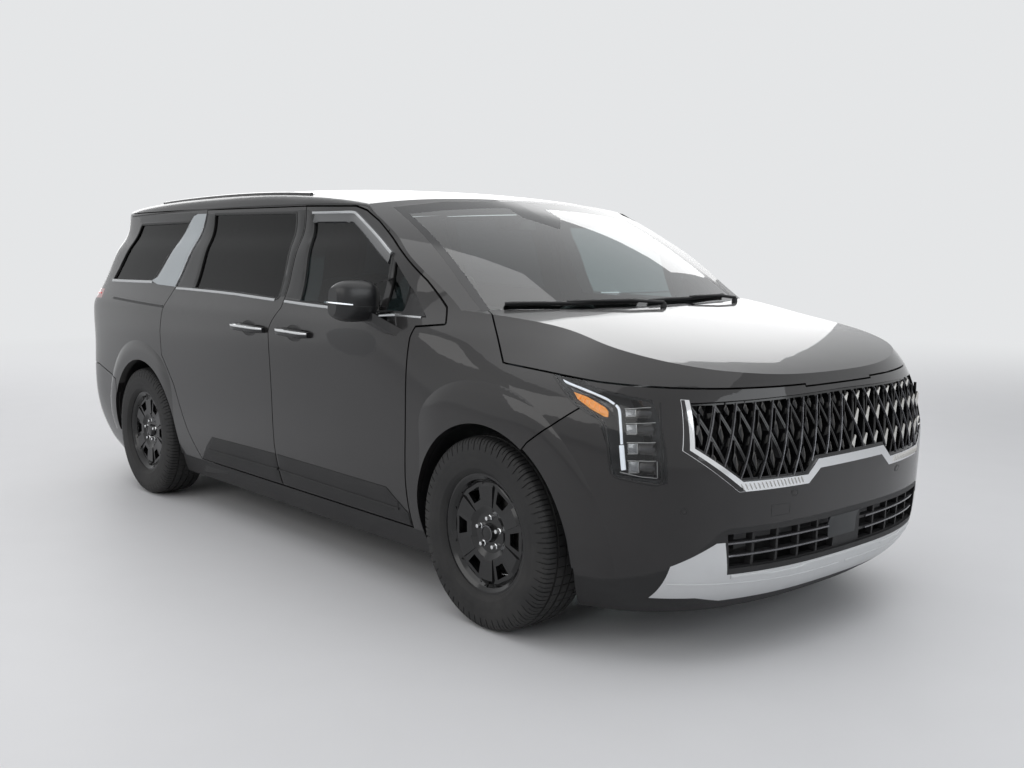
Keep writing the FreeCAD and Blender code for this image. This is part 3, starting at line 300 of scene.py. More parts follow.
def glass_material(name, tint, mirror=0.06, graze_mirror=0.85, bordered=False):
    """Thin glass: tinted, with reflections that grow at grazing angles."""
    made = bpy.data.materials.new(name)
    made.use_nodes = True
    tree = made.node_tree
    tree.nodes.remove(tree.nodes["Principled BSDF"])
    coords = add(tree, "ShaderNodeTexCoord")
    noise = add(tree, "ShaderNodeTexNoise", {"Vector": coords.outputs["Object"], "Scale": 2.0, "Detail": 4.0})
    haze = add(tree, "ShaderNodeMapRange", {"Value": noise.outputs["Fac"], "To Min": 0.0, "To Max": 0.02})
    clear = add(tree, "ShaderNodeBsdfTransparent", {"Color": (*tint, 1)})
    shine = add(tree, "ShaderNodeBsdfGlossy", {"Color": (1, 1, 1, 1), "Roughness": haze.outputs[0]})
    graze = add(tree, "ShaderNodeLayerWeight", {"Blend": 0.5})
    rise = calc(tree, "POWER", graze.outputs["Facing"], GRAZE_POWER)
    side = add(tree, "ShaderNodeNewGeometry")
    front = calc(tree, "SUBTRACT", 1.0, side.outputs["Backfacing"])
    share = calc(tree, "MULTIPLY", calc(tree, "MULTIPLY_ADD", rise, graze_mirror, mirror), front)
    mix = add(tree, "ShaderNodeMixShader", {0: share, 1: clear.outputs[0], 2: shine.outputs[0]})
    top = mix
    if bordered:
        place = add(tree, "ShaderNodeSeparateXYZ", {0: coords.outputs["Object"]})
        dark = add(tree, "ShaderNodeBsdfPrincipled", {"Base Color": (0.008, 0.008, 0.009, 1),
                                                      "Roughness": 0.12})
        top = add(tree, "ShaderNodeMixShader", {0: border_mask(tree, place), 1: mix.outputs[0],
                                                2: dark.outputs[0]})
    tree.links.new(top.outputs[0], tree.nodes["Material Output"].inputs["Surface"])
    return made


paint = paint_material("body_paint", (0.020, 0.019, 0.0195), (0.035, 0.034, 0.033))
gloss_black = material("gloss_black", (0.005, 0.005, 0.0055), rough=0.13, depth=0.02, dust=0.04)
black_plastic = material("black_plastic", (0.018, 0.018, 0.019), rough=0.52, depth=0.35, grain=1400,
                         dust=0.15, gleam=0.3)
chrome = material("chrome", (0.78, 0.79, 0.8), rough=0.07, metal=1.0, depth=0.02, dust=0.08, variation=0.03)
silver = material("silver_paint", (0.62, 0.63, 0.64), rough=0.42, metal=0.35, coat=0.4, coat_rough=0.25,
                  dust=0.1, depth=0.04, variation=0.03)
rubber = material("tyre_rubber", (0.020, 0.020, 0.0205), rough=0.66, depth=0.25, grain=700, dust=0.30,
                  gleam=0.3)
metal = material("cast_metal", (0.13, 0.13, 0.135), rough=0.55, metal=0.8, depth=0.5, grain=500, dust=0.6)
underbody = material("underbody", (0.022, 0.022, 0.023), rough=0.7, depth=0.4, grain=300, dust=0.7)
steel = material("steel", (0.34, 0.33, 0.32), rough=0.4, metal=1.0, depth=0.15, dust=0.5)
trim = material("cabin_trim", (0.03, 0.03, 0.031), rough=0.62, depth=0.5, grain=1100, dust=0.0)
cover = material("seat_cover", (0.045, 0.044, 0.043), rough=0.55, depth=0.6, grain=700, dust=0.0, sheen=0.2)
lens = glass_material("clear_lens", (0.86, 0.87, 0.88), mirror=0.03)
clear_glass = glass_material("clear_glass", (0.80, 0.86, 0.85), mirror=0.09, bordered=True)
dark_glass = glass_material("dark_glass", (0.10, 0.11, 0.12), mirror=0.015, graze_mirror=0.3)
mid_glass = glass_material("mid_glass", (0.40, 0.45, 0.46), mirror=0.02, graze_mirror=0.35)
red_lens = material("red_lens", (0.30, 0.006, 0.008), rough=0.08, coat=1.0, depth=0.25, grain=260, dust=0.1)
floor_paint = material("floor", (0.74, 0.74, 0.75), rough=0.55, depth=0.05, grain=60, dust=0.0,
                       variation=0.02)

satin = material("satin_trim", (0.52, 0.53, 0.54), rough=0.26, metal=0.9, depth=0.03, dust=0.05,
                 variation=0.03)
satin_dark = material("satin_dark", (0.20, 0.205, 0.21), rough=0.30, metal=0.85, depth=0.03, dust=0.1,
                      variation=0.05)
brushed_chrome = material("brushed_chrome", (0.50, 0.49, 0.47), rough=0.36, metal=1.0, depth=0.06,
                          grain=400, dust=0.05)
dark_chrome = material("dark_chrome", (0.16, 0.16, 0.17), rough=0.14, metal=1.0, depth=0.02, dust=0.05)
grille_edge = material("grille_edge", (0.13, 0.13, 0.14), rough=0.24, metal=0.7, coat=0.6, depth=0.02,
                       dust=0.1)
garnish_silver = material("garnish_silver", (0.40, 0.43, 0.45), rough=0.34, metal=0.75, coat=0.3,
                          coat_rough=0.2, grain=150, depth=0.9, dust=0.1, variation=0.06)
seal = material("rubber_seal", (0.010, 0.010, 0.0105), rough=0.5, depth=0.1, dust=0.2)
smoked = material("smoked_plastic", (0.035, 0.037, 0.040), rough=0.10, coat=1.0, depth=0.01, dust=0.05)
white_lens = material("white_light_bar", (0.86, 0.88, 0.92), rough=0.12, coat=0.6, depth=0.02, dust=0.0,
                      glow=(0.9, 0.95, 1.0), glow_power=0.55, variation=0.01)
amber = material("amber_lens", (0.95, 0.30, 0.01), rough=0.12, coat=0.8, grain=300, depth=0.5, dust=0.0,
                 glow=(1.0, 0.36, 0.02), glow_power=0.35, variation=0.1)
lamp_grey = material("lamp_reflector", (0.060, 0.055, 0.052), rough=0.22, metal=0.6, coat=0.5, depth=0.05,
                     dust=0.0)
lamp_cell = material("lamp_cell", (0.33, 0.33, 0.33), rough=0.10, metal=0.9, coat=0.5, grain=220, depth=0.4,
                     dust=0.0)
sensor_grey = material("sensor_grey", (0.034, 0.036, 0.038), rough=0.40, depth=0.02, dust=0.05, gleam=0.3)
red_glow = material("red_light_line", (0.55, 0.01, 0.012), rough=0.10, coat=1.0, depth=0.05, dust=0.0,
                    glow=(1.0, 0.03, 0.03), glow_power=0.25)
plate_white = material("blank_plate", (0.70, 0.70, 0.69), rough=0.4, depth=0.05, dust=0.15, variation=0.02)
screen_glass = material("screen_glass", (0.012, 0.014, 0.017), rough=0.08, coat=1.0, depth=0.0, dust=0.0)


def dress():
    """Gives every carried-over node its finish."""
    finishes = {
        "body_paint": paint, "black_gloss": gloss_black, "black_plastic": black_plastic,
        "bright_trim": chrome, "silver_paint": silver, "tinted_glass": dark_glass,
        "clear_glass": clear_glass, "lamp_lens": lens, "red_lens": red_lens, "tyre": rubber,
        "underbody": underbody, "cast_metal": metal, "steel": steel, "seat_cover": cover,
        "cabin_trim": trim,
    }
    for part in frame["record"]["subparts"]:
        piece = nodes[part["node"]]
        piece.data.materials.clear()
        front_glass = part["node"].startswith("front_door_glass")
        piece.data.materials.append(mid_glass if front_glass else finishes[part["material_slot"]])


def fade_floor():
    """Far from the object the floor takes the backdrop's colour, so that no horizon shows."""
    tree = floor_paint.node_tree
    coords = add(tree, "ShaderNodeTexCoord")
    away = add(tree, "ShaderNodeVectorMath", {0: coords.outputs["Object"]}, operation="LENGTH")
    far = add(tree, "ShaderNodeMapRange", {"Value": away.outputs["Value"], "From Min": FADE_START,
                                           "From Max": FADE_END}, interpolation_type="SMOOTHSTEP")
    glow = add(tree, "ShaderNodeEmission", {"Color": BACKDROP, "Strength": 1.0})
    mix = add(tree, "ShaderNodeMixShader", {0: far.outputs[0], 1: tree.nodes["Principled BSDF"].outputs[0],
                                            2: glow.outputs[0]})
    tree.links.new(mix.outputs[0], tree.nodes["Material Output"].inputs["Surface"])


def make_floor():
    """Wide floor, attached to no body: no part of the object."""
    fade_floor()
    data = bpy.data.meshes.new("floor")
    corners = [(x * FLOOR_HALF, y * FLOOR_HALF, 0) for x, y in ((-1, -1), (1, -1), (1, 1), (-1, 1))]
    data.from_pydata(corners, [], [(0, 1, 2, 3)])
    data.materials.append(floor_paint)
    piece = bpy.data.objects.new("floor", data)
    scene.collection.objects.link(piece)


# places on the shell, found by straight lines from a side or from the camera
def shell(*names, within=None):
    """Search tree of some nodes' faces, all of them or those nearer to the middle than a given width."""
    verts, faces = [], []
    for name in names:
        mesh = nodes[name].data
        start = len(verts)
        verts += [vert.co.copy() for vert in mesh.vertices]
        faces += [[start + index for index in face.vertices] for face in mesh.polygons
                  if within is None or abs(face.center.y) < within or face.center.z < MIRROR_LOW]
    return BVHTree.FromPolygons(verts, faces)


FAR = 4.0
AIMS = {"right": Vector((0, 1, 0)), "front": Vector((-1, 0, 0)), "back": Vector((1, 0, 0)),
        "top": Vector((0, 0, -1))}
# how far beside a gap the shell is looked for, in the view's own unit, and the depth that counts as one skin
REACH, CAMERA_REACH, SKIN_DEEP = 0.009, 1.2, 0.016


def sight_line(sight, a, b):
    """Start and direction of the line that meets the shell at a place in a view."""
    if sight == "camera":
        focus = CAMERA_LENS / SENSOR * PHOTO_WIDTH
        aim = Vector(((a - PHOTO_WIDTH / 2) / focus, (PHOTO_HEIGHT / 2 - b) / focus, -1))
        return Vector(CAMERA_AT), (camera_turn() @ aim).normalized()
    start = {"right": (a, -FAR, b), "front": (FAR, a, b), "back": (-FAR, a, b), "top": (a, b, FAR)}[sight]
    return Vector(start), AIMS[sight]


def touch(tree, sight, a, b):
    """Point and outward normal of the shell there; narrow gaps between panels are bridged."""
    reach = CAMERA_REACH if sight == "camera" else REACH
    hits = []
    for widen in (1, 2, 4, 7, 11):
        for da, db in ((0, 0), (1, 0), (-1, 0), (0, 1), (0, -1)):
            start, aim = sight_line(sight, a + da * reach * widen, b + db * reach * widen)
            spot, normal, _, far = tree.ray_cast(start, aim)
            if spot is not None:
                hits.append((far, normal if normal.dot(aim) < 0 else -normal, (da, db) == (0, 0)))
        if hits:
            break
    if not hits:
        raise ValueError("nothing of the shell at %s %.3f %.3f" % (sight, a, b))
    near = min(hit[0] for hit in hits)
    kept = [hit for hit in hits if hit[0] < near + SKIN_DEEP]
    centre = [hit for hit in kept if hit[2]]
    start, aim = sight_line(sight, a, b)
    if centre:
        return start + aim * centre[0][0], centre[0][1].normalized()
    far = sum(hit[0] for hit in kept) / len(kept)
    return start + aim * far, kept[0][1].normalized()


# shapes are lists of points and faces
def joined(*shapes):
    """Several shapes as one."""
    verts, faces = [], []
    for more_verts, more_faces in shapes:
        start = len(verts)
        verts += more_verts
        faces += [[start + index for index in face] for face in more_faces]
    return verts, faces


def mirrored(shape):
    """The shape's mirror image across the vehicle's middle."""
    verts, faces = shape
    return [Vector((vert[0], -vert[1], vert[2])) for vert in verts], [list(face)[::-1] for face in faces]


def moved(shape, matrix):
    """The shape put through a matrix."""
    return [matrix @ Vector(vert) for vert in shape[0]], shape[1]


def loft(rings, ends=True, round_trip=False):
    """Closed skin over rings of the same count."""
    count = len(rings[0])
    verts = [Vector(point) for ring in rings for point in ring]
    faces = []
    last = len(rings) if round_trip else len(rings) - 1
    for index in range(last):
        here, there = index * count, (index + 1) % len(rings) * count
        for step in range(count):
            after = (step + 1) % count
            faces.append([here + step, here + after, there + after, there + step])
    if ends and not round_trip:
        faces.append(list(range(count))[::-1])
        faces.append([(len(rings) - 1) * count + step for step in range(count)])
    return verts, faces


def oval(a, b, wide, high, count):
    """Places round an ellipse."""
    turns = [2 * math.pi * k / count for k in range(count)]
    return [(a + wide * math.cos(turn), b + high * math.sin(turn)) for turn in turns]


def smooth_path(path, step, closed=False, curve=True):
    """The path's points at even steps, on a smooth curve through them."""
    points = [Vector((a, b)) for a, b in path]
    if closed:
        points = points + [points[0]]
    dense = []
    for index in range(len(points) - 1):
        before = points[index - 1] if index else (points[-2] if closed else points[0])
        after = points[index + 2] if index + 2 < len(points) else (points[1] if closed else points[-1])
        start, end = points[index], points[index + 1]
        for part in range(12):
            t = part / 12
            if curve:
                square = 2 * before - 5 * start + 4 * end - after
                cube = 3 * start - before - 3 * end + after
                spot = 0.5 * (2 * start + (end - before) * t + square * t ** 2 + cube * t ** 3)
            else:
                spot = start.lerp(end, t)
            dense.append(spot)
    dense.append(points[-1])
    lengths = [0.0]
    for one, other in zip(dense, dense[1:]):
        lengths.append(lengths[-1] + (other - one).length)
    count = max(2, round(lengths[-1] / step))
    result, at = [], 0
    for index in range(count + 1):
        goal = lengths[-1] * index / count
        while at < len(lengths) - 2 and lengths[at + 1] < goal:
            at += 1
        span = lengths[at + 1] - lengths[at] or 1
        result.append(dense[at].lerp(dense[at + 1], min(1, max(0, (goal - lengths[at]) / span))))
    return result[:-1] if closed else result


# a moulding's cross-section: places across and heights, as shares of its width and rise
CROWN = ((-0.5, 0.35), (-0.38, 0.9), (0, 1.05), (0.38, 0.9), (0.5, 0.35))


def strip(tree, sight, path, width, rise, step=0.025, sink=0.003, lift=0.0, closed=False, curve=True,
          taper=0.0, arch=0.0):
    """Crowned moulding that follows the shell along a path; it may narrow or arch up between its ends."""
    spots = smooth_path(path, step, closed, curve)
    rings = []
    for index, spot in enumerate(spots):
        before = spots[index - 1] if index or closed else spot
        after = spots[(index + 1) % len(spots)] if index + 1 < len(spots) or closed else spot
        along = (after - before).normalized()
        side = Vector((-along.y, along.x))
        t = index / max(1, len(spots) - 1)
        narrow = 1 - taper * abs(2 * t - 1) ** 3
        bow = arch * (1 - abs(2 * t - 1) ** 4)
        top, base = [], []
        for across, high in CROWN:
            place = spot + side * width * across * narrow
            point, normal = touch(tree, sight, place.x, place.y)
            top.append(point + normal * (rise * high + lift + bow))
            if abs(across) == 0.5:
                base.append(point + normal * (lift - sink + bow))
        rings.append(top + base[::-1])
    return loft(rings, round_trip=closed)


def patch(tree, sight, outline, rise, step=0.03, sink=0.003, lift=0.0, edge=0.0015, dome=0.0):
    """Plate of a given outline that follows the shell, with a softened edge."""
    work = bmesh.new()
    area = sum(a[0] * b[1] - b[0] * a[1] for a, b in zip(outline, outline[1:] + outline[:1]))
    ordered = outline if area > 0 else outline[::-1]
    work.faces.new([work.verts.new((a, b, 0)) for a, b in ordered])
    if edge:
        bmesh.ops.inset_region(work, faces=work.faces[:], thickness=edge, use_even_offset=True)
    low = [min(point[axis] for point in outline) for axis in (0, 1)]
    high = [max(point[axis] for point in outline) for axis in (0, 1)]
    for axis in (0, 1):
        cuts = int((high[axis] - low[axis]) / step)
        for cut in range(1, cuts + 1):
            place, normal = [0, 0, 0], [0, 0, 0]
            place[axis] = low[axis] + (high[axis] - low[axis]) * cut / (cuts + 1)
            normal[axis] = 1
            bmesh.ops.bisect_plane(work, geom=work.verts[:] + work.edges[:] + work.faces[:], dist=1e-6,
                                   plane_co=place, plane_no=normal)
    bmesh.ops.triangulate(work, faces=work.faces[:])
    rim = {vert for edge_line in work.edges if edge_line.is_boundary for vert in edge_line.verts}
    work.verts.index_update()
    top, base = [], []
    middle = [(low[axis] + high[axis]) / 2 for axis in (0, 1)]
    for vert in work.verts:
        point, normal = touch(tree, sight, vert.co.x, vert.co.y)
        share = 0.4 if vert in rim and edge else 1.0
        across = abs(vert.co.x - middle[0]) / (high[0] - low[0]) * 2
        up = abs(vert.co.y - middle[1]) / (high[1] - low[1]) * 2
        swell = dome * max(0.0, 1 - across ** 2) * max(0.0, 1 - up ** 2)
        top.append(point + normal * (rise * share + lift + swell))
        base.append(point + normal * (lift - sink))
    count = len(top)
    faces = [[vert.index for vert in face.verts] for face in work.faces]
    faces += [[index + count for index in face][::-1] for face in faces]
    for edge_line in work.edges:
        if edge_line.is_boundary:
            one, other = (vert.index for vert in edge_line.verts)
            faces.append([one, other, other + count, one + count])
    work.free()
    return top + base, faces


def make(name, shape, finish, body="body", bend=38, merge=0.0):
    """A piece of the scene from a shape: normals outwards, smooth except at its edges."""
    data = bpy.data.meshes.new(name)
    data.from_pydata([tuple(vert) for vert in shape[0]], [], shape[1])
    work = bmesh.new()
    work.from_mesh(data)
    if merge:
        bmesh.ops.remove_doubles(work, verts=work.verts[:], dist=merge)
    bmesh.ops.dissolve_degenerate(work, edges=work.edges[:], dist=1e-6)
    bmesh.ops.recalc_face_normals(work, faces=work.faces[:])
    work.to_mesh(data)
    work.free()
    data.shade_smooth()
    data.set_sharp_from_angle(angle=math.radians(bend))
    data.materials.append(finish)
    piece = bpy.data.objects.new(name, data)
    scene.collection.objects.link(piece)
    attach(piece, body)
    return piece


def make_pair(name, shape, finish, bodies="body", **more):
    """The right-hand shape and its mirror image, as one piece or as one for each body."""
    if bodies == "body":
        return [make(name, joined(shape, mirrored(shape)), finish, "body", **more)]
    return [make(name + "_right", shape, finish, bodies + "_right", **more),
            make(name + "_left", mirrored(shape), finish, bodies + "_left", **more)]


def make_repeat_tree():
    """Puts one piece on every point, turned and sized by the points' own values."""
    tree = bpy.data.node_groups.new("repeats", "GeometryNodeTree")
    for label, kind, way in (("Geometry", "NodeSocketGeometry", "INPUT"),
                             ("Piece", "NodeSocketObject", "INPUT"),
                             ("Finish", "NodeSocketMaterial", "INPUT"),
                             ("Geometry", "NodeSocketGeometry", "OUTPUT")):
        tree.interface.new_socket(label, in_out=way, socket_type=kind)
    source, sink = tree.nodes.new("NodeGroupInput"), tree.nodes.new("NodeGroupOutput")
    turn = add(tree, "GeometryNodeInputNamedAttribute", {"Name": "turn"}, data_type="FLOAT_VECTOR")
    grow = add(tree, "GeometryNodeInputNamedAttribute", {"Name": "grow"}, data_type="FLOAT")
    info = add(tree, "GeometryNodeObjectInfo", {"Object": source.outputs["Piece"]})
    put = add(tree, "GeometryNodeInstanceOnPoints", {"Points": source.outputs["Geometry"],
                                                     "Instance": info.outputs["Geometry"],
                                                     "Rotation": turn.outputs[0], "Scale": grow.outputs[0]})
    real = add(tree, "GeometryNodeRealizeInstances", {"Geometry": put.outputs[0]})
    coat = add(tree, "GeometryNodeSetMaterial", {"Geometry": real.outputs[0],
                                                 "Material": source.outputs["Finish"]})
    tree.links.new(coat.outputs[0], sink.inputs[0])
    return tree


def repeated(shape, spots, finish):
    """Shape of many copies of one shape, made by the repeat tree from places, turns and sizes."""
    unit = bpy.data.meshes.new("unit")
    unit.from_pydata([tuple(vert) for vert in shape[0]], [], shape[1])
    unit_piece = bpy.data.objects.new("unit", unit)
    cloud = bpy.data.meshes.new("cloud")
    cloud.from_pydata([tuple(at) for at, _, _ in spots], [], [])
    cloud.attributes.new("turn", "FLOAT_VECTOR", "POINT")
    cloud.attributes.new("grow", "FLOAT", "POINT")
    for index, (_, turn, grow) in enumerate(spots):
        cloud.attributes["turn"].data[index].vector = turn
        cloud.attributes["grow"].data[index].value = grow
    cloud_piece = bpy.data.objects.new("cloud", cloud)
    for piece in (unit_piece, cloud_piece):
        scene.collection.objects.link(piece)
    modifier = cloud_piece.modifiers.new("repeats", "NODES")
    modifier.node_group = repeat_tree
    values = {"Piece": unit_piece, "Finish": finish}
    for item in repeat_tree.interface.items_tree:
        if item.in_out == "INPUT" and item.name in values:
            modifier[item.identifier] = values[item.name]
    graph = bpy.context.evaluated_depsgraph_get()
    result = bpy.data.meshes.new_from_object(cloud_piece.evaluated_get(graph))
    made = [vert.co.copy() for vert in result.vertices], [list(face.vertices) for face in result.polygons]
    for piece in (unit_piece, cloud_piece):
        bpy.data.objects.remove(piece)
    for mesh in (unit, cloud, result):
        bpy.data.meshes.remove(mesh)
    return made


def box_shape(low, high):
    """Box between two corners."""
    corners = [Vector((x, y, z)) for x in (low[0], high[0]) for y in (low[1], high[1]) for z in (low[2],
                                                                                                 high[2])]
    return corners, [[0, 1, 3, 2], [4, 6, 7, 5], [0, 4, 5, 1], [2, 3, 7, 6], [0, 2, 6, 4], [1, 5, 7, 3]]


def turned(profile, steps, start=0.0, sweep=2 * math.pi):
    """Ring about the Y axis from a closed profile of places across and radii."""
    rings = []
    whole = abs(sweep - 2 * math.pi) < 1e-6
    for step in range(steps if whole else steps + 1):
        angle = start + sweep * step / steps
        rings.append([Vector((radius * math.cos(angle), across, radius * math.sin(angle)))
                      for across, radius in profile])
    return loft(rings, round_trip=whole)


def tube(points, radius, sides=8, taper=1.0):
    """Round bar along a line of points."""
    rings = []
    for index, point in enumerate(points):
        before, after = points[max(0, index - 1)], points[min(len(points) - 1, index + 1)]
        along = (Vector(after) - Vector(before)).normalized()
        turn = along.to_track_quat("Z", "Y").to_matrix()
        thick = radius * (1 + (taper - 1) * index / (len(points) - 1))
        rings.append([Vector(point) + turn @ Vector((thick * math.cos(2 * math.pi * k / sides),
                                                     thick * math.sin(2 * math.pi * k / sides), 0))
                      for k in range(sides)])
    return loft(rings)


# tyres: one tread block of the ring, repeated all round
TREAD_BLOCKS = 60
GROOVE_DEEP, SIPE_DEEP = 0.0055, 0.004
CORE_Y, CORE_R = 0.06, 0.25
BEAD_Y, BEAD_R = 0.060, 0.222
HALF_SECTION = [(0.0770, 0.2215), (0.0900, 0.2245), (0.1075, 0.2370), (0.1112, 0.2455), (0.1136, 0.2480),
                (0.1140, 0.2530), (0.1158, 0.2700), (0.1172, 0.2880), (0.1166, 0.2910), (0.1173, 0.2945),
                (0.1152, 0.3160), (0.1128, 0.3300), (0.1105, 0.3400), (0.1080, 0.3475), (0.1035, 0.3550),
                (0.0975, 0.3605), (0.0915, 0.3632), (0.0780, 0.3655), (0.0640, 0.3664), (0.0630, 0.3592),
                (0.0548, 0.3592), (0.0540, 0.3670), (0.0330, 0.3677), (0.0235, 0.3678), (0.0228, 0.3600),
                (0.0142, 0.3600), (0.0135, 0.3680), (0.0, 0.3680)]
# points of the half section that lie in the shoulder blocks and on the ribs of the tread
SHOULDER_FROM, SHOULDER_TO = 11, 18
RIB_POINTS = (21, 22, 23, 26, 27)


def tyre_shape():
    """The whole ring: sides with moulded rings, a grooved tread and cut shoulder blocks."""
    points = [(across, radius, index) for index, (across, radius) in enumerate(HALF_SECTION)]
    points += [(-across, radius, index) for across, radius, index in points[-2::-1]]
    columns = [(0.0, "groove"), (0.10, "groove"), (0.13, "land"), (0.48, "land"), (0.51, "sipe"),
               (0.56, "sipe"), (0.59, "land"), (0.97, "land")]
    block = 2 * math.pi / TREAD_BLOCKS
    rings = []
    for share, kind in columns + [(1.0, "groove")]:
        ring = []
        for across, radius, index in points:
            deep = GROOVE_DEEP if kind == "groove" and SHOULDER_FROM <= index <= SHOULDER_TO else 0.0
            if kind == "sipe" and (index in RIB_POINTS or SHOULDER_FROM + 2 <= index <= SHOULDER_TO):
                deep = SIPE_DEEP
            pull = Vector((math.copysign(CORE_Y, across) - across, CORE_R - radius))
            if abs(across) < CORE_Y:
                pull.x = 0.0
            step = pull.normalized() * deep
            angle = block * share
            ring.append(Vector(((radius + step.y) * math.cos(angle), across + step.x,
                                (radius + step.y) * math.sin(angle))))
        ring += [Vector((BEAD_R * math.cos(angle), across, BEAD_R * math.sin(angle)))
                 for across in (-BEAD_Y, BEAD_Y)]
        rings.append(ring)
    wedge = loft(rings, ends=False)
    spots = [((0, 0, 0), (0, -block * index, 0), 1.0) for index in range(TREAD_BLOCKS)]
    return repeated(wedge, spots, rubber)


def wheel_places():
    """Each wheel's name end, side sign, centre and the bodies that turn with and hold it."""
    places = []
    for end, x in (("front", FRONT_X), ("rear", REAR_X)):
        for side, sign in SIDES:
            holder = "knuckle_" + side if end == "front" else "body"
            places.append((end, side, sign, Vector((x, sign * WHEEL_Y, WHEEL_Z)),
                           "wheel_%s_%s" % (end, side), holder))
    return places


def outward(shape, sign):
    """A shape made for the left wheel, or its mirror image for the right one."""
    return shape if sign > 0 else mirrored(shape)


NUT_RING, NUT_Y = 0.057, 0.0655
CAP_Y, CAP_R = 0.0770, 0.033


def lug_nut():
    """Six-sided nut with a flange and a rounded end."""
    profile = [(0.0, 0.0118), (0.002, 0.0122), (0.004, 0.0100), (0.016, 0.0092), (0.019, 0.0078),
               (0.020, 0.004)]
    rings = []
    for across, radius in profile:
        rings.append([Vector((radius * math.cos(math.pi * k / 3), across, radius * math.sin(math.pi * k / 3)))
                      for k in range(6)])
    return loft(rings)


def wheel_details():
    """Tyre, nuts, cap, valve, disc and caliper of every wheel."""
    tyre = tyre_shape()
    nuts = repeated(lug_nut(), [((NUT_RING * math.cos(2 * math.pi * k / 5 + 0.3), NUT_Y,
                                  NUT_RING * math.sin(2 * math.pi * k / 5 + 0.3)), (0, 0.4 * k, 0), 1.0)
                                for k in range(5)], chrome)
    cap = turned([(CAP_Y, 0.0), (CAP_Y + 0.004, 0.0), (CAP_Y + 0.0045, 0.018), (CAP_Y + 0.003, 0.026),
                  (CAP_Y + 0.0048, 0.0272), (CAP_Y + 0.0042, 0.0312), (CAP_Y, CAP_R)], 48)
    ring = turned([(CAP_Y + 0.0015, 0.0262), (CAP_Y + 0.0058, 0.0275), (CAP_Y + 0.0050, 0.0300),
                   (CAP_Y + 0.0010, 0.0310)], 48)
    valve = moved(tube([(0, 0, 0), (0, 0.012, -0.004), (0, 0.030, -0.007)], 0.0032),
                  Matrix.Translation((0.0, 0.062, -0.192)))
    disc = turned([(0.008, 0.078), (0.008, 0.148), (0.016, 0.150), (0.030, 0.148), (0.030, 0.112),
                   (0.0302, 0.100), (0.026, 0.078)], 72)
    pads = turned([(-0.040, 0.100), (-0.040, 0.158), (-0.010, 0.164), (0.030, 0.160), (0.042, 0.150),
                   (0.042, 0.105), (0.034, 0.100), (0.034, 0.152), (0.004, 0.153), (0.004, 0.100)], 16,
                  start=math.radians(150), sweep=math.radians(62))
    for end, side, sign, centre, body, holder in wheel_places():
        place = Matrix.Translation(centre)
        label = "_%s_%s" % (end, side)
        ringed = make("tyre" + label, moved(outward(tyre, sign), place), rubber, body, merge=0.0002, bend=40)
        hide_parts("%s_tyre_%s" % (end, side))
        make("lug_nuts" + label, moved(outward(nuts, sign), place), chrome, body)
        make("wheel_cap" + label, moved(outward(cap, sign), place), gloss_black, body, bend=20)
        make("cap_ring" + label, moved(outward(ring, sign), place), dark_chrome, body)
        make("valve" + label, moved(outward(valve, sign), place), rubber, body)
        make("brake_disc" + label, moved(outward(disc, sign), place), steel, body)
        make("brake_caliper" + label, moved(outward(pads, sign), place), metal, holder)


# flat trims of the flanks, in places along and up
BELT_HIGH = [(-1038, 1207), (-816, 1206), (-400, 1199), (0, 1186), (400, 1173), (800, 1164), (1080, 1160),
             (1216, 1158)]


def metres(points):
    """Places given in millimetres."""
    return [(a / 1000, b / 1000) for a, b in points]


def between(path, start, end):
    """The part of a line of points that lies between two places along, with its ends put in."""
    def at(x):
        for (x0, z0), (x1, z1) in zip(path, path[1:]):
            if x0 <= x <= x1:
                return (x, z0 + (z1 - z0) * (x - x0) / (x1 - x0))
        return None
    return [at(start)] + [point for point in path if start < point[0] < end] + [at(end)]


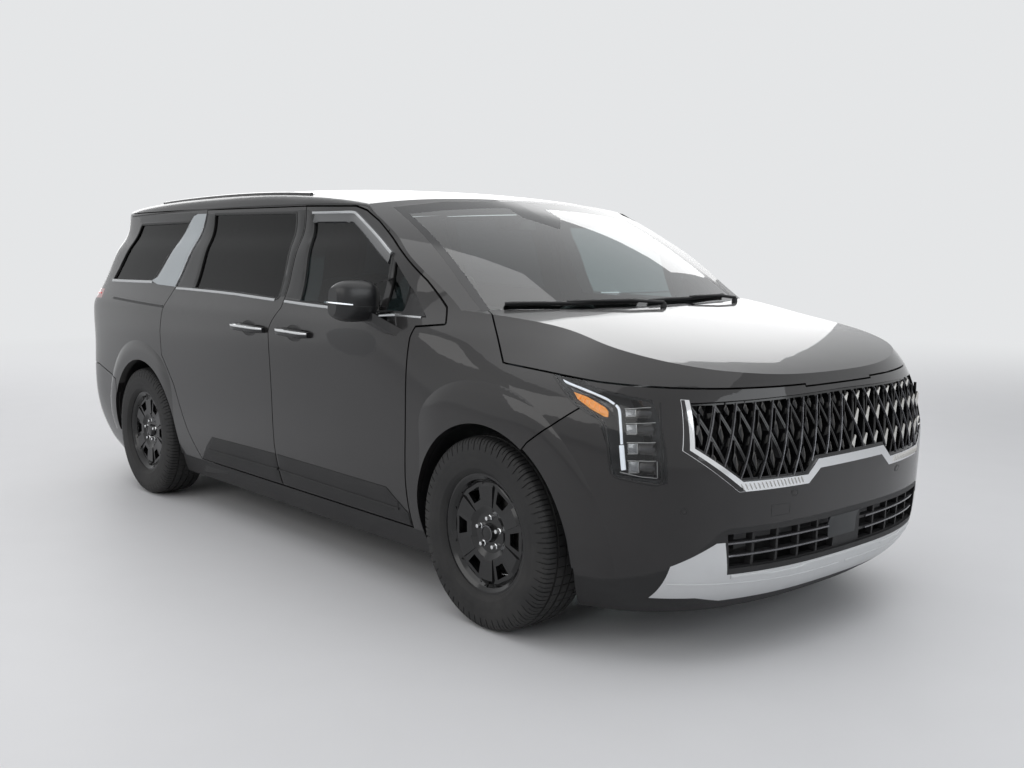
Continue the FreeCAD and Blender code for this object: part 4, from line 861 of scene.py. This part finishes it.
def flank_trims(side_tree):
    """Mouldings, seals, posts, garnish and cladding of both flanks."""
    def line(name, points, width, rise, finish, bodies="body", **more):
        make_pair(name, strip(side_tree, "right", metres(points), width, rise, **more), finish, bodies)

    def plate(name, points, rise, finish, bodies="body", **more):
        make_pair(name, patch(side_tree, "right", metres(points), rise, **more), finish, bodies)

    line("belt_strip_rear", between(BELT_HIGH, -1038, 70), 0.013, 0.004, satin)
    line("belt_strip_front", between(BELT_HIGH, 162, 1216), 0.013, 0.004, satin, "front_door")
    line("belt_seal_rear", [(a, b + 9) for a, b in between(BELT_HIGH, -820, 70)], 0.008, 0.003, seal)
    line("belt_seal_front", [(a, b + 9) for a, b in between(BELT_HIGH, 162, 1190)], 0.008, 0.003, seal,
         "front_door")
    line("sliding_window_seal", [(-822, 1212), (97, 1190), (62, 1597), (-800, 1607)], 0.011, 0.0025, seal,
         closed=True, curve=False)
    line("front_window_seal", [(297, 1181), (961, 1163), (936, 1400), (564, 1585), (216, 1591)], 0.011,
         0.0025, seal, "front_door", closed=True, curve=False)
    line("rear_window_seal", [(-1385, 1240), (-2000, 1234), (-1785, 1567), (-1093, 1571)], 0.011, 0.0025,
         seal, closed=True, curve=False)
    plate("centre_post_rear", [(100, 1203), (139, 1202), (133, 1330), (141, 1606), (72, 1606)], 0.0022,
          gloss_black)
    plate("centre_post_front", [(158, 1200), (290, 1196), (209, 1592), (161, 1606), (152, 1331)], 0.0022,
          gloss_black, "front_door")
    plate("front_division", [(966, 1172), (988, 1171), (963, 1368), (944, 1388)], 0.0022, gloss_black,
          "front_door")
    plate("rear_post", [(-1044, 1222), (-826, 1217), (-803, 1606), (-884, 1608)], 0.0022, gloss_black)
    plate("garnish", [(-1300, 1222), (-1060, 1215), (-893, 1611), (-1005, 1611), (-1050, 1600), (-1105, 1555),
                      (-1250, 1360), (-1330, 1262), (-1400, 1241)], 0.0045, garnish_silver, dome=0.002)
    line("garnish_tail", [(-2010, 1229), (-1700, 1231), (-1380, 1234)], 0.016, 0.004, satin)
    line("garnish_edge", [(-1056, 1219), (-974, 1412), (-889, 1612)], 0.004, 0.0065, satin)
    plate("rear_shade", [(-1810, 1577), (-1100, 1577), (-1010, 1618), (-1840, 1622)], 0.0016, gloss_black)
    plate("mirror_sail", [(1100, 1160), (1236, 1158), (1100, 1268)], 0.0115, black_plastic, "front_door",
          sink=0.004)
    line("rain_shield", [(228, 1566), (566, 1560), (924, 1382)], 0.046, 0.011, smoked, "front_door",
         curve=False)
    line("rain_shield_edge", [(224, 1590), (569, 1584), (934, 1404)], 0.014, 0.0125, satin, "front_door",
         curve=False)
    line("roof_drip_seal", [(-1950, 1617), (-1000, 1634), (0, 1633), (560, 1621), (700, 1583), (850, 1502)],
         0.007, 0.002, seal)
    # lower cladding on the doors, with its raised upper ledge
    plate("cladding_rear", [(-772, 303), (90, 303), (86, 452), (-588, 444), (-664, 392)], 0.0060,
          black_plastic)
    plate("cladding_front", [(108, 303), (1146, 303), (1144, 356), (1010, 444), (104, 452)], 0.0060,
          black_plastic, "front_door")
    line("cladding_ledge_rear", [(-640, 372), (88, 378)], 0.010, 0.0100, black_plastic)
    line("cladding_ledge_front", [(108, 378), (1090, 366)], 0.010, 0.0100, black_plastic, "front_door")
    line("slide_rail_slot", [(-1862, 1128), (-1500, 1116), (-1114, 1105)], 0.011, 0.0012, seal)
    line("slide_rail_lip", [(-1862, 1135), (-1500, 1123), (-1118, 1112)], 0.003, 0.0025, paint)
    shield = box_shape((-0.790, -0.925, 0.222), (-0.510, -0.790, 0.300))
    slant = [Vector((0.03 if vert.x < -0.7 and vert.z > 0.25 else 0.0, 0.0,
                     0.03 if vert.x > -0.6 and vert.z < 0.25 else 0.0)) for vert in shield[0]]
    shield = [vert + shift for vert, shift in zip(shield[0], slant)], shield[1]
    make_pair("wheel_deflector", shield, black_plastic)


HANDLE_Z = 1.044


def door_handles(side_tree):
    """Pull handles over a flat black patch of painted shadow in their recess, with a bright upper strip."""
    for label, start, end, bodies in (("sliding", -0.270, 0.052, "body"),
                                      ("front", 0.172, 0.462, "front_door")):
        path = [(start, HANDLE_Z + 0.004), ((start + end) / 2, HANDLE_Z + 0.002), (end, HANDLE_Z - 0.002)]
        make_pair(label + "_handle", strip(side_tree, "right", path, 0.034, 0.014, step=0.012, lift=0.004,
                                           arch=0.022, taper=0.25, sink=0.004), paint, bodies)
        bright = [(a, b + 0.006) for a, b in path]
        make_pair(label + "_handle_strip", strip(side_tree, "right", bright, 0.013, 0.0055, step=0.012,
                                                 lift=0.0150, arch=0.0225, taper=0.3, sink=0.001),
                  chrome, bodies)
        middle = (start + end) / 2
        # the flat black patch behind each handle is painted shadow of its recess
        shadow_oval = oval(middle, HANDLE_Z, 0.068, 0.036, 28)
        make_pair(label + "_handle_cup", patch(side_tree, "right", shadow_oval, 0.0010, step=0.02), seal, bodies)
        rim = oval(middle, HANDLE_Z, 0.070, 0.038, 28)
        make_pair(label + "_handle_rim", strip(side_tree, "right", rim, 0.004, 0.0018, step=0.01,
                                               closed=True), paint, bodies)


def mirror_details(mirror_tree):
    """Seam and lamp line of the door mirrors."""
    seam = [(323.5, 303.3), (340, 305.0), (360, 306.6), (385.5, 307.0)]
    make_pair("mirror_seam", strip(mirror_tree, "camera", seam, 0.9, 0.0012, step=2.0), seal, "front_door")
    lamp = [(324.3, 301.9), (338, 303.3), (353, 304.8)]
    make_pair("mirror_lamp", strip(mirror_tree, "camera", lamp, 1.5, 0.0016, step=2.0, taper=0.3), white_lens,
              "front_door")


def inside_grille(y, z, margin=0.0):
    """Whether a place is in the grille's opening: falling top, foot with a raised middle, slanting ends."""
    half = abs(y)
    top = 0.924 - 0.010 * half / 0.7
    low = 0.697 if half < 0.226 else 0.648
    if 0.226 <= half < 0.282:
        low = 0.697 - (half - 0.226) / 0.056 * 0.049
    if half >= 0.574:
        low = 0.652 + (half - 0.574) / 0.156 * 0.12
    side = 0.716 - (z - 0.772) * 0.12
    return half < side - margin and low + margin < z < top - margin


LATTICE_WIDE, LATTICE_HIGH, LATTICE_LOW = 0.077, 0.188, 0.622
BAR_FROM, BAR_SPAN, BAR_STEPS = 0.64, 0.30, 40
STUD_HALF, STUD_TOP, STUD_LEAST = 0.037, 0.908, 0.025


def grille_details(grille_tree):
    """Crowned ribs on the crossing bars and a two-sided stud in every opening: its bright half brushed
    chrome, its dark half gloss black as painted shade.
    """
    bright_ribs, dark_ribs = [], []
    for lean in (1, -1):
        for index in range(-22, 23):
            for sign in (1, -1):
                run = []
                for step in range(BAR_STEPS + 1):
                    z = BAR_FROM + BAR_SPAN * step / BAR_STEPS
                    y = (index + 0.5) * LATTICE_WIDE + lean * (z - LATTICE_LOW) * LATTICE_WIDE / LATTICE_HIGH
                    if y * sign > 0 and inside_grille(y, z, 0.006):
                        run.append((y, z))
                if len(run) > 2:
                    main = lean * sign < 0
                    (bright_ribs if main else dark_ribs).append(
                        strip(grille_tree, "front", [run[0], run[-1]], 0.0042 if main else 0.0030,
                              0.0060 if main else 0.0015, step=0.012, curve=False))
    make("grille_ribs", joined(*bright_ribs), grille_edge)
    make("grille_under_ribs", joined(*dark_ribs), gloss_black)
    lit, painted_shade_halves, webs = [], [], []
    for row in range(4):
        z = LATTICE_LOW + LATTICE_HIGH / 2 * row
        for column in range(-10, 11):
            y = LATTICE_WIDE * (column + (0.5 if row % 2 else 0.0))
            low, high = z - STUD_HALF, min(z + STUD_HALF, STUD_TOP)
            while low < z and not inside_grille(y, low, 0.004):
                low += 0.004
            if high - low < STUD_LEAST or not inside_grille(y, (low + high) / 2, 0.010):
                continue
            far = grille_depth(grille_tree, y, (low + high) / 2)
            one, other = stud_shapes(y, (low + high) / 2, (high - low) / 2, far, 1 if y <= 0 else -1)
            lit.append(one)
            painted_shade_halves.append(other)
            webs.append(box_shape((far - 0.024, y - 0.0025, max(z - 0.075, 0.655)),
                                  (far - 0.014, y + 0.0025, min(z + 0.075, 0.915))))
    make("grille_studs", joined(*lit), brushed_chrome, bend=12)
    # the dark half of every stud is gloss black as painted shade on its shaded facet
    make("grille_stud_sides", joined(*painted_shade_halves), gloss_black, bend=12)
    make("grille_webs", joined(*webs), gloss_black)
    make("grille_shroud", box_shape((2.325, -0.66, 0.655), (2.331, 0.66, 0.915)), seal)


def grille_depth(tree, y, z):
    """How far forward the bars' face is round an opening, as the middle one of many places."""
    found = []
    for step in range(24):
        angle = 2 * math.pi * step / 24
        spot, _, _, _ = tree.ray_cast(Vector((FAR, y + 0.042 * math.cos(angle), z + 0.02 * math.sin(angle))),
                                      AIMS["front"])
        if spot is not None:
            found.append(spot.x)
    return sorted(found)[len(found) // 2]


def stud_shapes(y, z, half, far, way):
    """The bright half and the painted-shade half of a skewed lozenge with a ridge from its top to its foot.
    """
    def at(across, up, out):
        return Vector((far + out, y + way * across, z + up * half))

    top, foot = at(-0.007, 1.0, -0.010), at(0.007, -1.0, -0.010)
    inner, outer = at(0.0155, -0.18, -0.010), at(-0.0140, 0.20, -0.010)
    ridge_top, ridge_foot = at(-0.0065, 0.82, -0.0045), at(0.0035, -0.82, -0.0045)
    halves = []
    for side in (inner, outer):
        front = [top, side, foot, ridge_foot, ridge_top]
        back = [point + Vector((-0.008, 0, 0)) for point in (top, side, foot)]
        faces = [[0, 1, 4], [1, 3, 4], [1, 2, 3], [5, 6, 7], [0, 1, 6, 5], [1, 2, 7, 6], [2, 0, 5, 7],
                 [0, 4, 3, 2]]
        halves.append((front + back, faces))
    return halves


def frame_hatching(frame_tree):
    """Slanting flutes in the lower run of the bright frame."""
    flutes = []
    for sign in (1, -1):
        for index in range(17):
            y = sign * (0.292 + index * 0.0165)
            flutes.append(strip(frame_tree, "front", [(y, 0.6235), (y + sign * 0.012, 0.6455)], 0.0040,
                                0.0022, step=0.006, curve=False, taper=0.5))
    make("frame_flutes", joined(*flutes), brushed_chrome)
    lip = [(574, 619), (750, 766), (721, 928), (711, 928), (731, 767), (569, 636), (548, 619)]
    for side, sign in SIDES:
        make("frame_lip_" + side,
             patch(frame_tree, "front", [(sign * a, b) for a, b in metres(lip)], 0.0015, step=0.03), paint)


def lower_grille_details(lower_tree, nose_tree):
    """Bars of the lower intake, what closes it behind, and the plain sensor panel."""
    for number, z in enumerate((0.395, 0.439)):
        for side, sign in SIDES:
            path = [(sign * 0.596, z), (sign * 0.35, z + 0.001), (sign * 0.12, z)]
            make("intake_bar_%d_%s" % (number, side),
                 strip(lower_tree, "front", path, 0.0075, 0.006, step=0.02, sink=0.002), grille_edge)
    make("intake_shroud", box_shape((2.372, -0.585, 0.255), (2.378, 0.585, 0.495)), seal)
    make("sensor_panel", patch(nose_tree, "front", metres([(-118, 392), (54, 392), (60, 474), (-124, 474)]),
                               0.004, step=0.04, edge=0.003, dome=0.002), sensor_grey)


# lamps, in places of the photograph's frame seen from its camera
def headlamp_details(lamp_tree, border_tree):
    """Light bars, indicator, four boxes with their cells, and the border of both lamps."""
    def line(name, points, width, rise, lift, finish, tree=lamp_tree, **more):
        make_pair(name, strip(tree, "camera", points, width, rise, step=1.6, lift=lift, sink=0.002, **more),
                  finish)

    def plate(name, points, rise, lift, finish, **more):
        make_pair(name, patch(lamp_tree, "camera", points, rise, step=5, lift=lift, edge=0.35, **more),
                  finish)

    line("lamp_light_top", [(558.0, 376.6), (567.7, 381.6), (586.5, 389.4), (604.3, 397.2), (613.4, 403.0)],
         2.4, 0.004, -0.012, white_lens)
    line("lamp_light_side", [(615.2, 404.4), (618.4, 409.5), (619.8, 425.4), (620.9, 444.6)], 2.8, 0.004,
         -0.012, white_lens)
    line("lamp_light_foot", [(620.6, 445.4), (621.6, 458.0), (622.6, 470.6)], 5.0, 0.005, -0.012, white_lens,
         curve=False)
    plate("indicator", [(572.2, 390.4), (586.5, 395.8), (604.0, 406.4), (607.2, 410.4), (606.6, 416.6),
                        (603.2, 416.2), (589.5, 408.4), (576.0, 397.8)], 0.006, -0.014, amber, dome=0.003)
    for number in range(5):
        share = number / 5
        flute = [(580 + 25 * share, 394.8 + 13 * share), (577.8 + 26 * share, 398.8 + 15 * share)]
        line("indicator_flute_%d" % number, flute, 0.8, 0.0035, -0.007, amber, curve=False)
    plate("lamp_shade_top", [(562.5, 381.8), (575.0, 388.0), (590.0, 393.8), (606.0, 402.0), (611.4, 406.6),
                             (611.6, 411.4), (605.4, 405.2), (588.0, 394.8), (571.0, 388.6)], 0.003, -0.020,
          lamp_grey)
    for number, (top, foot) in enumerate(((408.0, 416.6), (423.4, 434.8), (443.0, 455.0), (461.4, 474.2))):
        slope = 0.8 * number
        left = 624.0 + 0.9 * number
        box = [(left, top), (656.4, top - 2.2 + slope), (656.8, foot + 0.6 + slope * 0.6), (left + 0.6, foot)]
        plate("lamp_box_%d" % number, box, 0.016, -0.034, lamp_grey)
        lip = [(left, top), (640, top - 0.9 + slope / 2), (656.0, top - 2.0 + slope)]
        line("lamp_box_lip_%d" % number, lip, 0.9, 0.002, -0.0145, brushed_chrome, curve=False)
        cube = [(left + 0.8, top + 1.2), (left + 11.5, top + 0.8), (left + 11.8, foot - 0.8),
                (left + 1.2, foot - 0.6)]
        plate("lamp_cell_%d" % number, cube, 0.006, -0.016, lamp_cell)
        edge = [cube[3], cube[2], cube[1]]
        line("lamp_cell_edge_%d" % number, edge, 0.8, 0.0015, -0.0095, brushed_chrome, curve=False)
        middle = (top + foot) / 2
        louvre = [(left + 13, middle), (655.0, middle - 0.8 + slope * 0.7)]
        line("lamp_louvre_%d" % number, louvre, 1.0, 0.002, -0.0175, dark_chrome, curve=False)
    line("lamp_bezel", [(657.2, 462.0), (657.6, 479.0), (640.0, 477.4), (619.0, 472.6)], 0.9, 0.002, -0.010,
         brushed_chrome, curve=False)
    border = [(660.2, 402.6), (661.6, 440.0), (662.0, 478.0), (660.0, 484.2), (654.0, 485.2), (635.0, 482.0),
              (617.0, 477.8), (611.6, 472.4), (609.4, 462.0), (607.0, 440.0), (604.2, 424.6), (597.0, 417.8),
              (585.0, 410.8), (573.0, 402.0), (563.0, 389.0), (553.4, 374.8)]
    line("lamp_border", border, 2.2, 0.0016, 0.0, gloss_black, tree=border_tree)


def bumper_details(nose_tree):
    """Round sensors and the joint of the towing eye's cover."""
    for number, (a, b) in enumerate(((684.1, 511.8), (794.8, 492.3))):
        ring, disc = oval(a, b, 3.2, 3.2, 16), oval(a, b, 2.6, 2.6, 16)
        make_pair("sensor_ring_%d" % number, strip(nose_tree, "camera", ring, 0.55, 0.0010, step=0.9,
                                                   closed=True), seal)
        make_pair("sensor_%d" % number, patch(nose_tree, "camera", disc, 0.0012, step=2.5, edge=0.3), paint)
    cover = [(771.9, 505.6), (790.4, 502.6), (789.6, 513.4), (771.6, 516.6)]
    make("tow_cover_seam", strip(nose_tree, "camera", cover, 0.5, 0.0008, step=1.5, closed=True,
                                 curve=False), seal)


def skid_details(skid_tree):
    """Raised upper step of the silver plate and the fold below it."""
    for side, sign in SIDES:
        steps = [(0.575, 0.326), (0.44, 0.326), (0.425, 0.318), (0.26, 0.318), (0.245, 0.326), (0.0, 0.326)]
        make("skid_step_" + side,
             strip(skid_tree, "front", [(sign * y, z - 0.006) for y, z in steps], 0.012, 0.004, step=0.02,
                   curve=False), silver)
    make_pair("skid_fold", strip(skid_tree, "front", [(-0.762, 0.302), (-0.60, 0.296), (-0.30, 0.284),
                                                      (-0.02, 0.282)], 0.006, 0.0022, step=0.02), silver)


def roof_details(top_tree):
    """Raised rails on the roof sides with a dark seam along them."""
    rail = [(-1.560, -0.758), (-1.100, -0.763), (-0.700, -0.765), (-0.300, -0.763), (0.098, -0.758)]
    make_pair("roof_rail", strip(top_tree, "top", rail, 0.032, 0.012, step=0.03, taper=0.35), paint)
    make_pair("roof_rail_seam", strip(top_tree, "top", [(a, b + 0.021) for a, b in rail], 0.005, 0.0016,
                                      step=0.03), seal)


def wiper(name, screen_tree, pivot, blade, arm_at):
    """One wiper: pivot cap, bent arm, and a blade that rests on the glass."""
    blade_path = smooth_path(blade, 0.03)
    rubber_line, frame_line = [], []
    for spot in blade_path:
        point, normal = touch(screen_tree, "top", spot.x, spot.y)
        rubber_line.append(point + normal * 0.004)
        frame_line.append(point + normal * 0.012)
    make(name + "_rubber", tube(rubber_line, 0.0035, 6), rubber)
    make(name + "_frame", tube(frame_line, 0.0065, 8), black_plastic)
    middle = frame_line[int(len(frame_line) * arm_at)]
    foot, normal = touch(screen_tree, "top", *pivot)
    rise = foot + normal * 0.020
    arm = [foot + normal * 0.010, rise, rise.lerp(middle, 0.35) + Vector((0, 0, 0.010)),
           rise.lerp(middle, 0.75) + Vector((0, 0, 0.008)), middle + Vector((0, 0, 0.006))]
    make(name + "_arm", tube(arm, 0.0085, 8, taper=0.6), black_plastic)
    cap = [foot + normal * step for step in (-0.004, 0.008, 0.016, 0.020)]
    make(name + "_cap", tube(cap, 0.015, 16, taper=0.6), black_plastic)


# the back: lamp bar, plate recess, wiper, reflectors
def rear_details(tail_tree, bumper_tree, lamp_tree, gate_lamp_tree):
    """Lamp lines, blank plate in its recess, trims, spoiler and wiper of the tail."""
    def line(name, path, width, rise, finish, tree=tail_tree, body="tailgate", **more):
        make(name, strip(tree, "back", path, width, rise, **more), finish, body)

    def plate(name, outline, rise, finish, tree=tail_tree, body="tailgate", **more):
        make(name, patch(tree, "back", outline, rise, **more), finish, body)

    line("gate_lamp_line", [(-0.76, 1.152), (-0.4, 1.154), (0.0, 1.155), (0.4, 1.154), (0.76, 1.152)],
         0.010, 0.003, red_glow, gate_lamp_tree, step=0.03)
    make_pair("corner_lamp_line", strip(lamp_tree, "right", [(-2.12, 1.150), (-2.24, 1.149), (-2.34, 1.148)],
                                        0.010, 0.003, step=0.02), red_glow)
    recess = [(-0.34, 0.830), (0.34, 0.830), (0.36, 0.985), (0.30, 1.010), (-0.30, 1.010), (-0.36, 0.985)]
    plate("plate_recess", recess, 0.0015, black_plastic, step=0.05)
    line("plate_recess_rim", recess, 0.010, 0.006, paint, step=0.03, closed=True, curve=False)
    plate("blank_plate", [(-0.155, 0.845), (0.155, 0.845), (0.155, 0.990), (-0.155, 0.990)], 0.006,
          plate_white, step=0.06, edge=0.003)
    line("gate_pull", [(-0.20, 1.030), (0.0, 1.032), (0.20, 1.030)], 0.020, 0.012, satin_dark, step=0.02,
         taper=0.3)
    border = [(-0.655, 1.203), (-0.615, 1.525), (-0.560, 1.553), (0.0, 1.565), (0.560, 1.553), (0.615, 1.525),
              (0.655, 1.203), (0.0, 1.196)]
    line("gate_glass_border", border, 0.022, 0.002, seal, step=0.03, closed=True, curve=False)
    line("gate_spoiler", [(-0.60, 1.600), (-0.3, 1.622), (0.0, 1.628), (0.3, 1.622), (0.60, 1.600)], 0.040,
         0.020, gloss_black, step=0.03, taper=0.5)
    line("high_lamp", [(-0.16, 1.585), (0.0, 1.588), (0.16, 1.585)], 0.014, 0.010, red_lens, step=0.02,
         taper=0.2)
    for side, sign in SIDES:
        line("rear_reflector_" + side, [(sign * y, 0.455) for y in (0.86, 0.74, 0.62)], 0.030, 0.006,
             red_lens, bumper_tree, "body", step=0.02, taper=0.2)
    plate("rear_lower_cover", [(-0.80, 0.215), (0.80, 0.215), (0.86, 0.330), (0.80, 0.395), (-0.80, 0.395),
                               (-0.86, 0.330)], 0.005, black_plastic, bumper_tree, "body", step=0.06)
    plate("rear_silver_plate", [(-0.46, 0.222), (0.46, 0.222), (0.50, 0.290), (0.42, 0.322), (-0.42, 0.322),
                                (-0.50, 0.290)], 0.010, silver, bumper_tree, "body", step=0.05, edge=0.004)
    make("load_sill_guard", strip(bumper_tree, "top", [(-2.545, -0.52), (-2.556, 0.0), (-2.545, 0.52)],
                                  0.030, 0.0025, step=0.03), black_plastic)
    foot, normal = touch(tail_tree, "back", 0.0, 1.215)
    far, far_normal = touch(tail_tree, "back", -0.33, 1.262)
    arm = [foot + normal * 0.012, foot + normal * 0.026, far + far_normal * 0.018]
    make("rear_wiper_arm", tube(arm, 0.0085, 8, taper=0.55), black_plastic, "tailgate")
    make("rear_wiper_cap", tube([foot + normal * step for step in (-0.006, 0.012, 0.026, 0.032)], 0.020, 16,
                                taper=0.6), black_plastic, "tailgate")
    blade = []
    for step in range(12):
        point, normal = touch(tail_tree, "back", -0.08 - 0.36 * step / 11, 1.228 + 0.042 * step / 11)
        blade.append(point + normal * 0.009)
    make("rear_wiper_blade", tube(blade, 0.0065, 8), rubber, "tailgate")


# cabin
def pad_shape(size, crown=0.02, puff=0.18, channels=(), bolster=0.0, cells=16):
    """Closed cushion about its middle: crowned faces, sides drawn in between its corners, sewn channels."""
    long, wide, thick = (value / 2 for value in size)
    grid = {}
    verts, faces = [], []

    def spot(u, v, w):
        key = (round(u, 5), round(v, 5), round(w, 5))
        if key not in grid:
            round_off = 1 - puff * 0.5 * (u * u * v * v + v * v * w * w + w * w * u * u) / 1.5
            pull = 1 - 0.035 * ((1 - v * v) * abs(u) ** 6)
            pull_side = 1 - 0.035 * ((1 - u * u) * abs(v) ** 6)
            high = thick * w * round_off
            swell = crown * (1 - u * u) * (1 - v * v) * (1 if w > 0 else 0.3) * w
            groove = 0.0
            for channel in channels:
                groove += 0.010 * math.exp(-((u - channel) / 0.028) ** 2) * (1 if w > 0 else 0)
            side = bolster * math.exp(-((abs(v) - 0.86) / 0.12) ** 2) * (1 if w > 0 else 0)
            seam = 0.007 * math.exp(-((abs(v) - 0.70) / 0.022) ** 2) * (1 if w > 0 else 0) if bolster else 0.0
            grid[key] = len(verts)
            verts.append(Vector((long * u * round_off * pull, wide * v * round_off * pull_side,
                                 high + swell + side - (groove + seam) * max(0.0, w))))
        return grid[key]

    steps = [2 * k / cells - 1 for k in range(cells + 1)]
    flat = [-1 + 2 * k / 4 for k in range(5)]
    for w, flip in ((1, False), (-1, True)):
        for i in range(cells):
            for j in range(cells):
                face = [spot(steps[i], steps[j], w), spot(steps[i + 1], steps[j], w),
                        spot(steps[i + 1], steps[j + 1], w), spot(steps[i], steps[j + 1], w)]
                faces.append(face[::-1] if flip else face)
    for i in range(cells):
        for k in range(4):
            for end in (1, -1):
                faces.append([spot(steps[i], end, flat[k]), spot(steps[i + 1], end, flat[k]),
                              spot(steps[i + 1], end, flat[k + 1]), spot(steps[i], end, flat[k + 1])])
                faces.append([spot(end, steps[i], flat[k]), spot(end, steps[i + 1], flat[k]),
                              spot(end, steps[i + 1], flat[k + 1]), spot(end, steps[i], flat[k + 1])])
    return verts, faces


FLOOR_TOP = 0.340
SEAT_HIGH, SEAT_LONG, BACK_WALL, BACK_HIGH, BACK_TILT = 0.300, 0.520, 0.130, 0.620, 22.0


def seat_pads(label, x, y, wide):
    """Cushion, back and headrest over one seat's place, leaned as the seat leans."""
    lean = Matrix.Rotation(math.radians(-BACK_TILT), 4, "Y")
    root = Matrix.Translation((x - BACK_WALL * 0.6, y, FLOOR_TOP + SEAT_HIGH * 0.55)) @ lean
    cushion = moved(pad_shape((SEAT_LONG - 0.01, wide - 0.01, 0.150), 0.018, 0.16, (-0.35, 0.1), 0.022),
                    Matrix.Translation((x + SEAT_LONG / 2, y, FLOOR_TOP + SEAT_HIGH - 0.085)))
    upright = Matrix.Rotation(math.radians(-90), 4, "Y")
    flip = Matrix.Rotation(math.radians(180), 4, "X")
    back = moved(pad_shape((BACK_HIGH - 0.02, wide - 0.012, BACK_WALL - 0.02), 0.016, 0.16, (-0.3, 0.15),
                           0.02),
                 root @ Matrix.Translation((BACK_WALL / 2, 0, BACK_HIGH / 2 + 0.01)) @ upright @ flip)
    rest = moved(pad_shape((0.170, 0.255, 0.080), 0.012, 0.30, (), 0.0, 12),
                 root @ Matrix.Translation((BACK_WALL * 0.35, 0, BACK_HIGH + 0.105)) @ upright @ flip)
    made = []
    for part, shape, fill in (("cushion", cushion, 0.75), ("back", back, 0.75), ("headrest", rest, 0.85)):
        piece = make("%s_%s" % (label, part), shape, cover, merge=1e-5, bend=60)
        soften = piece.modifiers.new("soften", "SUBSURF")
        soften.levels = soften.render_levels = 1
        made.append(piece)
    plinth = box_shape((x + 0.03, y - wide / 2 + 0.03, FLOOR_TOP + 0.001),
                       (x + SEAT_LONG - 0.03, y + wide / 2 - 0.03, FLOOR_TOP + SEAT_HIGH - 0.155))
    made.append(make(label + "_plinth", plinth, trim))
    for letter, offset in (("a", -0.05), ("b", 0.05)):
        ends = [root @ Vector((BACK_WALL * 0.35, offset, BACK_HIGH + up)) for up in (-0.03, 0.04)]
        made.append(make("%s_post_%s" % (label, letter), tube(ends, 0.006, 8), steel))
    return made


def cabin_seats():
    """Pads of all seven seats, shown in place of the plain seats."""
    front, middle = [], []
    for side, y in (("left", 0.380), ("right", -0.380)):
        front += seat_pads("front_seat_" + side, 0.090, y, 0.520)
        middle += seat_pads("middle_seat_" + side, -0.780, y, 0.520)
    rear = []
    for side, y in (("left", 0.383), ("centre", 0.0), ("right", -0.383)):
        rear += seat_pads("rear_seat_" + side, -1.640, y, 0.380)
    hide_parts("front_seats")
    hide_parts("middle_seats")
    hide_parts("rear_seat")


def cabin_details():
    """Screen, shelf and vent line of the dashboard, the console and the inner mirror."""
    dash_x = 0.820
    make("dash_screen", moved(box_shape((-0.010, -0.36, -0.075), (0.0, 0.36, 0.075)),
                              Matrix.Translation((dash_x - 0.006, 0.18, 1.000)) @ Matrix.Rotation(0.12, 4,
                                                                                                  "Y")),
         screen_glass)
    make("dash_shelf", box_shape((dash_x - 0.030, -0.72, 0.880), (dash_x - 0.001, 0.72, 0.905)), trim)
    make("dash_vent_line", box_shape((dash_x - 0.012, -0.70, 0.850), (dash_x - 0.001, 0.70, 0.868)),
         satin_dark)
    make("console", box_shape((0.640, -0.085, 0.342), (dash_x - 0.002, 0.085, 0.760)), trim)
    make("inner_mirror", moved(box_shape((-0.012, -0.115, -0.032), (0.012, 0.115, 0.032)),
                               Matrix.Translation((0.705, 0.0, 1.545)) @ Matrix.Rotation(-0.3, 4, "Y")),
         gloss_black)
    make("inner_mirror_stalk", tube([(0.712, 0, 1.55), (0.790, 0, 1.590)], 0.010), black_plastic)


make_camera()
make_studio()
make_floor()
dress()
repeat_tree = make_repeat_tree()
wheel_details()
flank_nodes = ("front_door_right", "sliding_door_right", "quarter_panel_right", "fender_right",
               "front_door_glass_right", "side_glass", "roof")
flank = shell(*flank_nodes, within=MIRROR_Y)
flank_trims(flank)
door_handles(flank)
mirror_details(shell("front_door_right"))
nose = shell("front_bumper", "fender_right", "fender_left")
grille_details(shell("grille"))
frame_hatching(shell("grille_frame"))
lower_grille_details(shell("lower_grille"), shell("lower_grille", "bumper_trim", "front_bumper"))
headlamp_details(shell("headlamps"), shell("headlamps", "front_bumper", "fender_right", "bonnet"))
bumper_details(nose)
skid_details(shell("skid_plate"))
screen = shell("windscreen", "cowl", "bonnet", "fender_left", "fender_right")
roof_details(shell("roof"))
wiper("wiper_right", screen, (1.628, 0.03), [(1.432, -0.69), (1.519, -0.38), (1.557, -0.06)], 0.45)
wiper("wiper_left", screen, (1.545, 0.62), [(1.553, 0.02), (1.522, 0.34), (1.440, 0.66)], 0.45)
rear_details(shell("tailgate", "tailgate_glass"), shell("rear_bumper"), shell("tail_lamps"),
             shell("tailgate_lamp"))
cabin_seats()
cabin_details()
